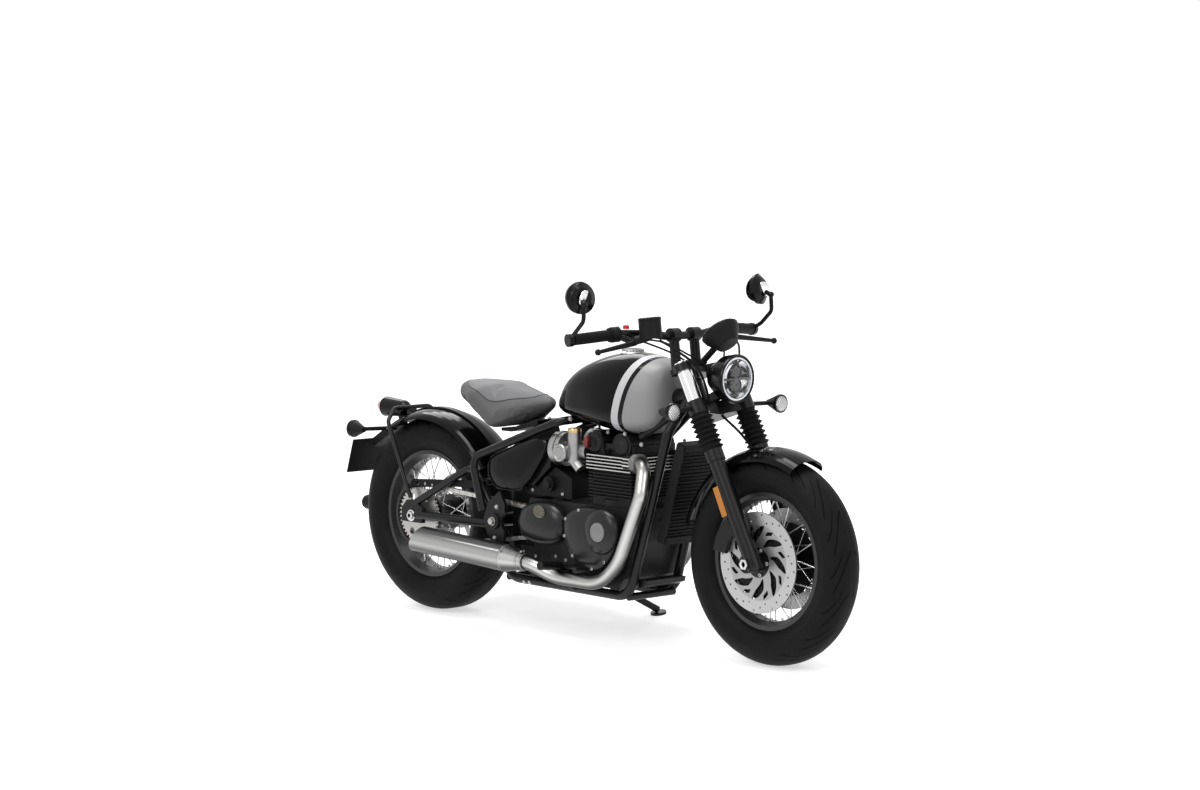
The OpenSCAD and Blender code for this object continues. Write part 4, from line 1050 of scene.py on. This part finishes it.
# Fasteners on the right: x, y, z in millimetres, the way they point, and their size
FASTENERS = (
    (-253, -86, 150, "right", 13), (-226, -88, 152, "right", 13), (-197, -82, 174, "up", 10),
    (-234, 0, 676, "up", 10), (-60, -78, 693, "right", 13), (-22, -130, 607, "right", 9),
    (58, -99, 668, "right", 10), (130, -99, 668, "right", 10), (205, -99, 668, "right", 10),
    (71, -101, 588, "up", 11), (150, -104, 588, "up", 11), (228, -101, 588, "up", 11),
    (-322, -149, 392, "right", 12), (-335, -157, 345, "right", 22), (-331, -149, 290, "right", 12),
    (-84, -113, 254, "right", 9), (-38, -113, 246, "right", 9), (-176, -113, 245, "right", 9),
    (-70, -99, 453, "right", 9), (-206, -99, 455, "right", 9), (275, -96, 640, "right", 11),
)


def build_fasteners():
    """Hexagon heads at the listed places, the upper ones on both sides."""
    ways = {"right": RIGHT, "up": UP}
    bolts = Form()
    for x, y, z, way, size in FASTENERS:
        bolts.bolt(mm(x, y, z), ways[way], size, size * 0.5)
        if y < 0 and way == "right" and z > 200:
            bolts.bolt(mm(x, -y, z), -ways[way], size, size * 0.5)
    bolts.build("frame_fasteners", ["chain_steel"], "chassis", slot="chrome_tube", angle=30)


def build_plug_leads():
    """Leads from the coils under the tank down to the plugs."""
    leads = Form()
    for s in (-1, 1):
        route = ((60, 60, 706), (100, 108, 690), (128, 122, 640), (131, 112, 600), (131, 100, 584))
        leads.tube(smooth_path([mm(x, s * y, z) for x, y, z in route], 6), 4, 10)
        leads.turned(
            mm(131, s * 100, 606), Vector((0, -s * 0.3, -1)),
            [(0.01, -6), (9, -6), (9, 14), (11, 16), (11, 22), (0.01, 22)], 20
        )
    leads.build("plug_leads", ["soft_rubber"], "chassis", slot="soft_rubber")


# Outlines of the side covers and of the plates behind them: x and z in millimetres
PANEL_OUTLINE = [
    (-386, 520), (-372, 550), (-278, 590), (-165, 626), (-116, 612), (-132, 566), (-186, 494),
    (-240, 452), (-338, 449), (-382, 484)
]
BACKING_OUTLINE = [
    (-374, 520), (-376, 560), (-250, 622), (-118, 678), (-104, 640), (-124, 560), (-186, 486), (-300, 452)
]


def build_panels():
    """Glossy side covers and the dark plates behind them: painted shade that stands in for the shaded inner
    parts past the covers' edges.
    """
    covers = Form()
    for s in (-1, 1):
        covers.domed(
            PANEL_OUTLINE, s, [(0, 116), (0, 126), (3, 132), (9, 136), (26, 139), (50, 140)], smooth=4
        )
    covers.build("side_covers", ["gloss_black"], "chassis", slot="gloss_plastic", angle=50)
    # The plates fill the gap between the frame and the covers with painted shade, standing in for the inner
    # parts there
    backing = Form()
    for s in (-1, 1):
        backing.slab(BACKING_OUTLINE, mm(0, s * 76, 0), AHEAD, UP, 3)
    backing.build("panel_backing", ["matte_black"], "chassis", slot="matte_black")


# Chain and sprockets: pitch and side place in millimetres, teeth, and the gearbox's output
CHAIN_PITCH, CHAIN_Y = 15.875, -96
REAR_TEETH, FRONT_TEETH = 42, 17
GEARBOX_OUT = mm(-182, 0, 350)


def chain_run(form, start, end, count):
    """Figure-of-eight plates and pins along a straight run."""
    along = (end - start).normalized()
    side = LEFT
    up = side.cross(along)
    pitch = (end - start).length / count
    for k in range(count):
        a = start + along * pitch * k
        lift = 1.6 if k % 2 else 0.0
        for out, inner in ((side, 5.6 + lift), (-side, 5.6 + lift)):
            outline = []
            for base, first in ((0, 90), (pitch / MM, -90)):
                for d in range(0, 181, 30):
                    t = math.radians(first + d)
                    outline.append((base + 6.6 * math.cos(t), 6.6 * math.sin(t)))
            place = a + Vector((0, CHAIN_Y * MM, 0)) + out * inner * MM
            form.slab(outline, place, along, up if out is side else -up, 1.4)
        form.turned(a + Vector((0, (CHAIN_Y + 9) * MM, 0)), -side, [(2.6, 0), (2.6, 18), (0.01, 18)], 8)


def build_chain():
    """Both runs of the chain, tangent to the sprockets' pitch circles."""
    form = Form()
    rear, front = mm(-750, 0, 322), GEARBOX_OUT
    rear_r, front_r = (CHAIN_PITCH / 2 / math.sin(math.pi / teeth) for teeth in (REAR_TEETH, FRONT_TEETH))
    span = (front - rear).length / MM
    tilt = math.atan2(front.z - rear.z, front.x - rear.x)
    open_a = math.acos((rear_r - front_r) / span)
    links = round(math.sqrt(span**2 - (rear_r - front_r) ** 2) / CHAIN_PITCH)
    for s in (-1, 1):
        out = around(tilt + s * open_a)
        chain_run(form, rear + out * rear_r * MM, front + out * front_r * MM, links)
    form.build("chain_links", ["link_steel"], "chassis", slot="chain_steel")


def build_discs():
    """Front discs, their slots cut by their finish, with dark carriers behind and bolts."""
    half, hub, outer = 2.3, 30, 155
    profile = [
        (hub, -half), (outer * 0.5, -half), (outer, -half), (outer, half), (outer * 0.5, half),
        (hub, half)
    ]
    for s, name in ((-1, "front_disc_right"), (1, "front_disc_left")):
        disc = Form().turned(FRONT_AXLE + mm(0, s * 69, 0), LEFT * s, profile, 96, close=True)
        disc.build(name, ["front_cut"], "front_wheel", slot="disc_steel", angle=30)
    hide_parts("front_discs")
    backing = Form()
    for s in (-1, 1):
        face = FRONT_AXLE + mm(0, s * 60, 0)
        backing.turned(face, LEFT * s, [(52, 0), (113, 0), (113, 2), (52, 2)], 64, close=True)
    backing.build("disc_carriers", ["matte_black"], "front_wheel", slot="frame_black")
    bolts = Form()
    for s in (-1, 1):
        for a in turns(5):
            bolts.socket(FRONT_AXLE + mm(38 * math.cos(a), s * 71, 38 * math.sin(a)), LEFT * s, 12, 6)
    bolts.build("disc_bolts", ["chain_steel"], "front_wheel", slot="chrome_tube")


def build_lamp():
    """Headlight: black ring, running light, bowl, projectors and clear glass."""
    centre = mm(578, 0, 861)
    ring = Form().turned(
        centre, AHEAD, [(74, -4), (76, 0), (76, 9), (73, 13), (69, 13), (66, 8), (66, -4)], 64
    )
    ring.build("headlight_ring", ["gloss_plastic"], "steering", slot="gloss_black")
    light = Form().turned(centre, AHEAD, [(66, 4), (66, 9), (62, 10), (60, 8), (60, 4)], 64)
    light.build("running_light_ring", ["light_ring"], "steering", slot="lamp_glass")
    bowl = Form().turned(
        centre, AHEAD, [(57, 6), (50, -4), (40, -14), (24, -20), (14, -22), (0.01, -22)], 64
    )
    bowl.build("headlight_bowl", ["lamp_reflector"], "steering", slot="bright_alloy")
    eyes = Form()
    for z, r in ((20, 22), (-20, 22)):
        eyes.turned(
            centre + mm(-10, 0, z), AHEAD, [(r, 0), (r, 10), (r - 3, 12), (r - 5, 8), (8, 6), (0.01, 9)],
            32
        )
    eyes.slab(
        [(-56, -3), (56, -3), (56, 3), (-56, 3)], centre + mm(4, 0, 0), LEFT, UP, 4
    )
    eyes.build("headlight_projectors", ["dial_face"], "steering", slot="matte_black")
    glass = Form().turned(centre, AHEAD, [(68, 10), (60, 14), (44, 18), (24, 20.5), (0.01, 21)], 64)
    glass.build("headlight_glass", ["lamp_glass"], "steering", ["headlight_lens"], "lamp_glass", angle=80)


def build_indicators():
    """Lenses and rims of the four indicators."""
    for label, centre, ahead, body in (
        ("front", (545, 241, 769), 1, "steering"),
        ("rear", (-1010, 160, 592), -1, "chassis"),
    ):
        lens, rim = Form(), Form()
        for s in (-1, 1):
            p = mm(centre[0], s * centre[1], centre[2])
            axis = AHEAD * ahead
            lens.turned(p, axis, [(26, 7), (22, 11), (12, 14), (0.01, 15)], 32)
            rim.turned(p, axis, [(29.2, -2), (29.6, 2), (29.2, 8), (26, 9.5), (25, 6)], 40)
        lens.build(
            label + "_indicator_glass", ["clear_lens" if ahead > 0 else "amber_lens"], body,
            slot="lamp_glass"
        )
        rim.build(label + "_indicator_rims", ["gloss_plastic"], body, slot="matte_black")


def build_cockpit():
    """Instrument face, mirrors, reservoir lid, stop switch and the fork's reflectors."""
    axis = Vector((-0.669, 0, 0.743))
    centre = mm(511, 0, 1003)
    face = Form().turned(centre, axis, [(55, 6.2), (30, 6.6), (0.01, 6.8)], 48)
    face.build("instrument_face", ["dial_face"], "steering", slot="matte_black")
    glass, caps = Form(), Form()
    for s in (-1, 1):
        head = mm(308, s * 401, 1109)
        normal = Matrix.Rotation(-s * math.radians(16), 3, "Z") @ Vector(
            (-math.cos(math.radians(10)), 0, 0.17)
        ).normalized()
        glass.turned(head, normal, [(45, 13.2), (0.01, 13.6)], 40)
        caps.turned(head, -normal, [(27, 11), (27, 15), (24, 17), (10, 18), (0.01, 18.2)], 40)
    glass.build("mirror_faces", ["mirror_glass"], "steering", slot="bright_alloy")
    caps.build("mirror_caps", ["polished_alloy"], "steering", slot="bright_alloy")
    # The reservoir's lid and the red stop switch
    lid = Form().turned(
        mm(402, -190, 982) + mm(-8, 0, 60), Vector((-0.14, 0, 1)),
        [(36, -4), (37, -1), (36, 3), (31, 5), (0.01, 5)], 40
    )
    lid.build("reservoir_lid", ["gloss_plastic"], "steering", slot="matte_black")
    switch = Form().slab(
        [(-8, -5), (8, -5), (8, 4), (3, 8), (-8, 6)], mm(352, -242, 1016), AHEAD, UP, 14
    )
    switch.build("stop_switch", ["switch_red"], "steering", slot="matte_black", bevel=2)
    # Amber reflectors on the fork legs
    glow = Form()
    for s in (-1, 1):
        foot, top = mm(663, s * 124, 455), mm(621, s * 124, 541)
        along = (top - foot).normalized()
        half = (top - foot).length / MM / 2
        middle = (foot + top) / 2
        glow.slab(
            [(-half, -11), (half, -11), (half, 11), (-half, 11)], middle, along,
            (LEFT * s).cross(along), 6
        )
    glow.build("fork_reflectors", ["amber_lens"], "steering", slot="gloss_plastic", bevel=2)


# Hoses and leads on the steering: name, radius and route, in millimetres of the upright machine
HOSES = (
    (
        "brake_hose", 4,
        [(424, -176, 978), (462, -150, 952), (500, -92, 900), (512, -58, 830), (520, -50, 770)]
    ),
    (
        "switch_lead", 3,
        [(330, -196, 978), (392, -128, 968), (452, -84, 934), (480, -34, 900), (482, -22, 862)]
    ),
    (
        "left_switch_lead", 3,
        [(330, 196, 978), (400, 128, 962), (456, 80, 930), (484, 40, 896), (486, 24, 862)]
    ),
    (
        "throttle_cable", 3,
        [(330, -214, 982), (380, -170, 962), (430, -110, 930), (462, -60, 888), (470, -46, 850)]
    ),
    ("caliper_hose", 4, [(494, 16, 752), (520, 34, 724), (548, 52, 694), (574, 66, 662), (596, 78, 636)]),
    (
        "clutch_hose", 3.5,
        [(384, 205, 966), (440, 165, 940), (486, 110, 880), (500, 66, 820), (514, 52, 770)]
    ),
)


def cable(name, points, radius, body):
    """Rubber hose, lead or cable through points, held at both ends by one body."""
    path = smooth_path([mm(*p) for p in points], 6)
    placed = [STANCE @ p for p in path]
    curve = bpy.data.curves.new(name, "CURVE")
    curve.dimensions = "3D"
    curve.bevel_depth = radius * MM
    curve.bevel_resolution = 3
    spline = curve.splines.new("POLY")
    spline.points.add(len(placed) - 1)
    for slot, p in zip(spline.points, placed):
        slot.co = (*p, 1)
    curve.materials.append(mat("soft_rubber"))
    piece = bpy.data.objects.new(name, curve)
    bpy.context.scene.collection.objects.link(piece)
    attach(piece, body)
    length = sum((b - a).length for a, b in zip(placed, placed[1:]))
    return piece


# Strength of the world on surfaces that don't mirror it
AMBIENT = 0.5
# Lamps: name, place in metres, power in watts, size in metres
LAMPS = (
    ("key", (0.5, -4.5, 4.6), 120, 2.6),
    ("side", (5.0, -0.5, 3.0), 40, 1.8),
    ("rim", (-4.0, 3.0, 4.0), 80, 2.4),
    ("top", (0.0, -0.2, 4.4), 120, 2.0),
)


def white_to_eye(tree):
    """Socket that is 1 for rays that show the background: from the camera, in metal and through glass."""
    path = tree.nodes.new("ShaderNodeLightPath")
    total = None
    for name in ("Is Camera Ray", "Is Glossy Ray", "Is Transmission Ray"):
        if total is None:
            total = path.outputs[name]
            continue
        both = tree.nodes.new("ShaderNodeMath")
        both.operation = "MAXIMUM"
        tree.links.new(total, both.inputs[0])
        tree.links.new(path.outputs[name], both.inputs[1])
        total = both.outputs[0]
    return total


def build_studio():
    """White floor and world, with four soft lamps round the machine."""
    world = bpy.data.worlds.new("studio")
    bpy.context.scene.world = world
    world.use_nodes = True
    tree = world.node_tree
    plain = tree.nodes["Background"]
    plain.inputs[0].default_value, plain.inputs[1].default_value = (1, 1, 1, 1), AMBIENT
    white = tree.nodes.new("ShaderNodeBackground")
    white.inputs[0].default_value, white.inputs[1].default_value = (1, 1, 1, 1), 1.0
    join = tree.nodes.new("ShaderNodeMixShader")
    tree.links.new(white_to_eye(tree), join.inputs[0])
    tree.links.new(plain.outputs[0], join.inputs[1])
    tree.links.new(white.outputs[0], join.inputs[2])
    tree.links.new(join.outputs[0], tree.nodes["World Output"].inputs[0])
    ground = finish("floor_white", (0.80, 0.80, 0.80), 0.9)
    seen = Wire(ground, white_to_eye(ground.tree))
    ground.set(
        "Emission Color", ground.mix(seen, (0, 0, 0), (0.56, 0.56, 0.56))
    ).set("Emission Strength", 1.0)
    mesh = bpy.data.meshes.new("floor")
    size = 60
    corners = [(-size, -size), (size, -size), (size, size), (-size, size)]
    mesh.from_pydata([(x, y, -0.0005) for x, y in corners], [], [(0, 1, 2, 3)])
    mesh.materials.append(ground.material)
    floor = bpy.data.objects.new("floor", mesh)
    bpy.context.scene.collection.objects.link(floor)
    centre = STANCE @ mm(0, 0, 500)
    for name, place, power, size in LAMPS:
        lamp = bpy.data.lights.new(name, "AREA")
        lamp.energy, lamp.size = power, size
        holder = bpy.data.objects.new(name, lamp)
        holder.location = Vector(place)
        holder.rotation_euler = (centre - Vector(place)).to_track_quat("-Z", "Y").to_euler()
        bpy.context.scene.collection.objects.link(holder)


# The photograph's view: degrees round, above and rolled, aim point and distance, and focal length in pixels
VIEW_AROUND, VIEW_ABOVE, VIEW_ROLL = 45.07, 5.20, 0.68
VIEW_AIM, VIEW_DISTANCE = mm(-41.13, 34.45, 764.34), 11.2552
FOCAL_PIXELS, PHOTO_WIDTH, SENSOR_MM = 3524.53, 1200, 36


def build_camera():
    """Camera at the photograph's view."""
    az, el, roll = math.radians(VIEW_AROUND), math.radians(VIEW_ABOVE), math.radians(VIEW_ROLL)
    back = Vector((math.sin(az) * math.cos(el), -math.cos(az) * math.cos(el), math.sin(el)))
    eye = VIEW_AIM + back * VIEW_DISTANCE
    right = (-back).cross(UP).normalized()
    up = right.cross(-back)
    side = right * math.cos(roll) + up * math.sin(roll)
    top = -right * math.sin(roll) + up * math.cos(roll)
    place = Matrix.Translation(eye) @ Matrix((side, top, back)).transposed().to_4x4()
    data = bpy.data.cameras.new("photo_view")
    data.sensor_width, data.lens = SENSOR_MM, FOCAL_PIXELS / PHOTO_WIDTH * SENSOR_MM
    data.clip_start, data.clip_end = 0.1, 200
    camera = bpy.data.objects.new("photo_view", data)
    camera.matrix_world = STANCE @ place
    bpy.context.scene.collection.objects.link(camera)
    bpy.context.scene.camera = camera


class BOBBER_PG_paint(bpy.types.PropertyGroup):
    """Colours that a user would change"""

    tank_front: bpy.props.FloatVectorProperty(
        name="Tank front",
        description="Colour of the tank's front panel",
        subtype="COLOR",
        default=(0.33, 0.33, 0.334),
    )


class BOBBER_OT_finishes(bpy.types.Operator):
    """Makes the finishes and paints the model's solids with them"""

    bl_idname = "bobber.finishes"
    bl_label = "Finishes"

    def execute(self, context):
        make_finishes(context.scene.bobber_paint)
        paint_nodes()
        return {"FINISHED"}


class BOBBER_OT_tank(bpy.types.Operator):
    """Builds the tank's painted shell and its filler"""

    bl_idname = "bobber.tank"
    bl_label = "Tank"

    def execute(self, context):
        build_tank()
        return {"FINISHED"}


class BOBBER_OT_seat(bpy.types.Operator):
    """Builds the padded seat"""

    bl_idname = "bobber.seat"
    bl_label = "Padded seat"

    def execute(self, context):
        build_seat()
        return {"FINISHED"}


class BOBBER_OT_wheels(bpy.types.Operator):
    """Adds valves, spoke nipples and axle nuts"""

    bl_idname = "bobber.wheels"
    bl_label = "Wheel trim"

    def execute(self, context):
        build_wheels()
        return {"FINISHED"}


class BOBBER_OT_engine(bpy.types.Operator):
    """Adds covers, a grille, screws, roundels, pipes, clamps and plug leads"""

    bl_idname = "bobber.engine"
    bl_label = "Engine trim"

    def execute(self, context):
        build_covers()
        build_grille()
        build_cover_screws()
        build_roundels()
        build_head_trim()
        build_throttle_trim()
        build_exhaust()
        build_fasteners()
        build_plug_leads()
        return {"FINISHED"}


class BOBBER_OT_panels(bpy.types.Operator):
    """Builds the glossy side covers and the dark plates behind them, painted shade for the gap"""

    bl_idname = "bobber.panels"
    bl_label = "Side covers"

    def execute(self, context):
        build_panels()
        return {"FINISHED"}


class BOBBER_OT_drive(bpy.types.Operator):
    """Adds the chain's links and the brake discs"""

    bl_idname = "bobber.drive"
    bl_label = "Chain and discs"

    def execute(self, context):
        build_chain()
        build_discs()
        return {"FINISHED"}


class BOBBER_OT_lamps(bpy.types.Operator):
    """Builds the headlight's inside, glass and the indicators' lenses"""

    bl_idname = "bobber.lamps"
    bl_label = "Lamps"

    def execute(self, context):
        build_lamp()
        build_indicators()
        return {"FINISHED"}


class BOBBER_OT_cockpit(bpy.types.Operator):
    """Adds the instrument's face, the mirrors' glass, a lid, a switch and the fork's reflectors"""

    bl_idname = "bobber.cockpit"
    bl_label = "Cockpit"

    def execute(self, context):
        build_cockpit()
        return {"FINISHED"}


class BOBBER_OT_hoses(bpy.types.Operator):
    """Runs the hoses, leads and throttle cable"""

    bl_idname = "bobber.hoses"
    bl_label = "Hoses"

    def execute(self, context):
        for name, radius, points in HOSES:
            cable(name, points, radius, "steering")
        return {"FINISHED"}


class BOBBER_OT_studio(bpy.types.Operator):
    """Sets the floor, lamps and camera"""

    bl_idname = "bobber.studio"
    bl_label = "Studio"

    def execute(self, context):
        build_studio()
        build_camera()
        context.scene.view_settings.view_transform = "Standard"
        return {"FINISHED"}


STEPS = (
    BOBBER_OT_studio,
    BOBBER_OT_finishes,
    BOBBER_OT_hoses,
    BOBBER_OT_tank,
    BOBBER_OT_seat,
    BOBBER_OT_wheels,
    BOBBER_OT_engine,
    BOBBER_OT_panels,
    BOBBER_OT_drive,
    BOBBER_OT_lamps,
    BOBBER_OT_cockpit,
)


class BOBBER_PT_panel(bpy.types.Panel):
    """Lists the steps that dress the machine"""

    bl_idname = "BOBBER_PT_panel"
    bl_label = "Bobber Motorcycle"
    bl_space_type = "VIEW_3D"
    bl_region_type = "UI"
    bl_category = "Bobber"

    def draw(self, context):
        self.layout.prop(context.scene.bobber_paint, "tank_front")
        for step in STEPS:
            self.layout.operator(step.bl_idname)


CLASSES = (BOBBER_PG_paint, *STEPS, BOBBER_PT_panel)


def register():
    """Adds the steps, their panel and the colour setting to Blender."""
    for item in CLASSES:
        bpy.utils.register_class(item)
    bpy.types.Scene.bobber_paint = bpy.props.PointerProperty(type=BOBBER_PG_paint)


def unregister():
    """Takes out what register added."""
    del bpy.types.Scene.bobber_paint
    for item in reversed(CLASSES):
        bpy.utils.unregister_class(item)


def main():
    """Runs every step."""
    register()
    for step in STEPS:
        group, name = step.bl_idname.split(".")
        getattr(getattr(bpy.ops, group), name)()
    bpy.context.view_layer.update()


if __name__ == "__main__":
    main()
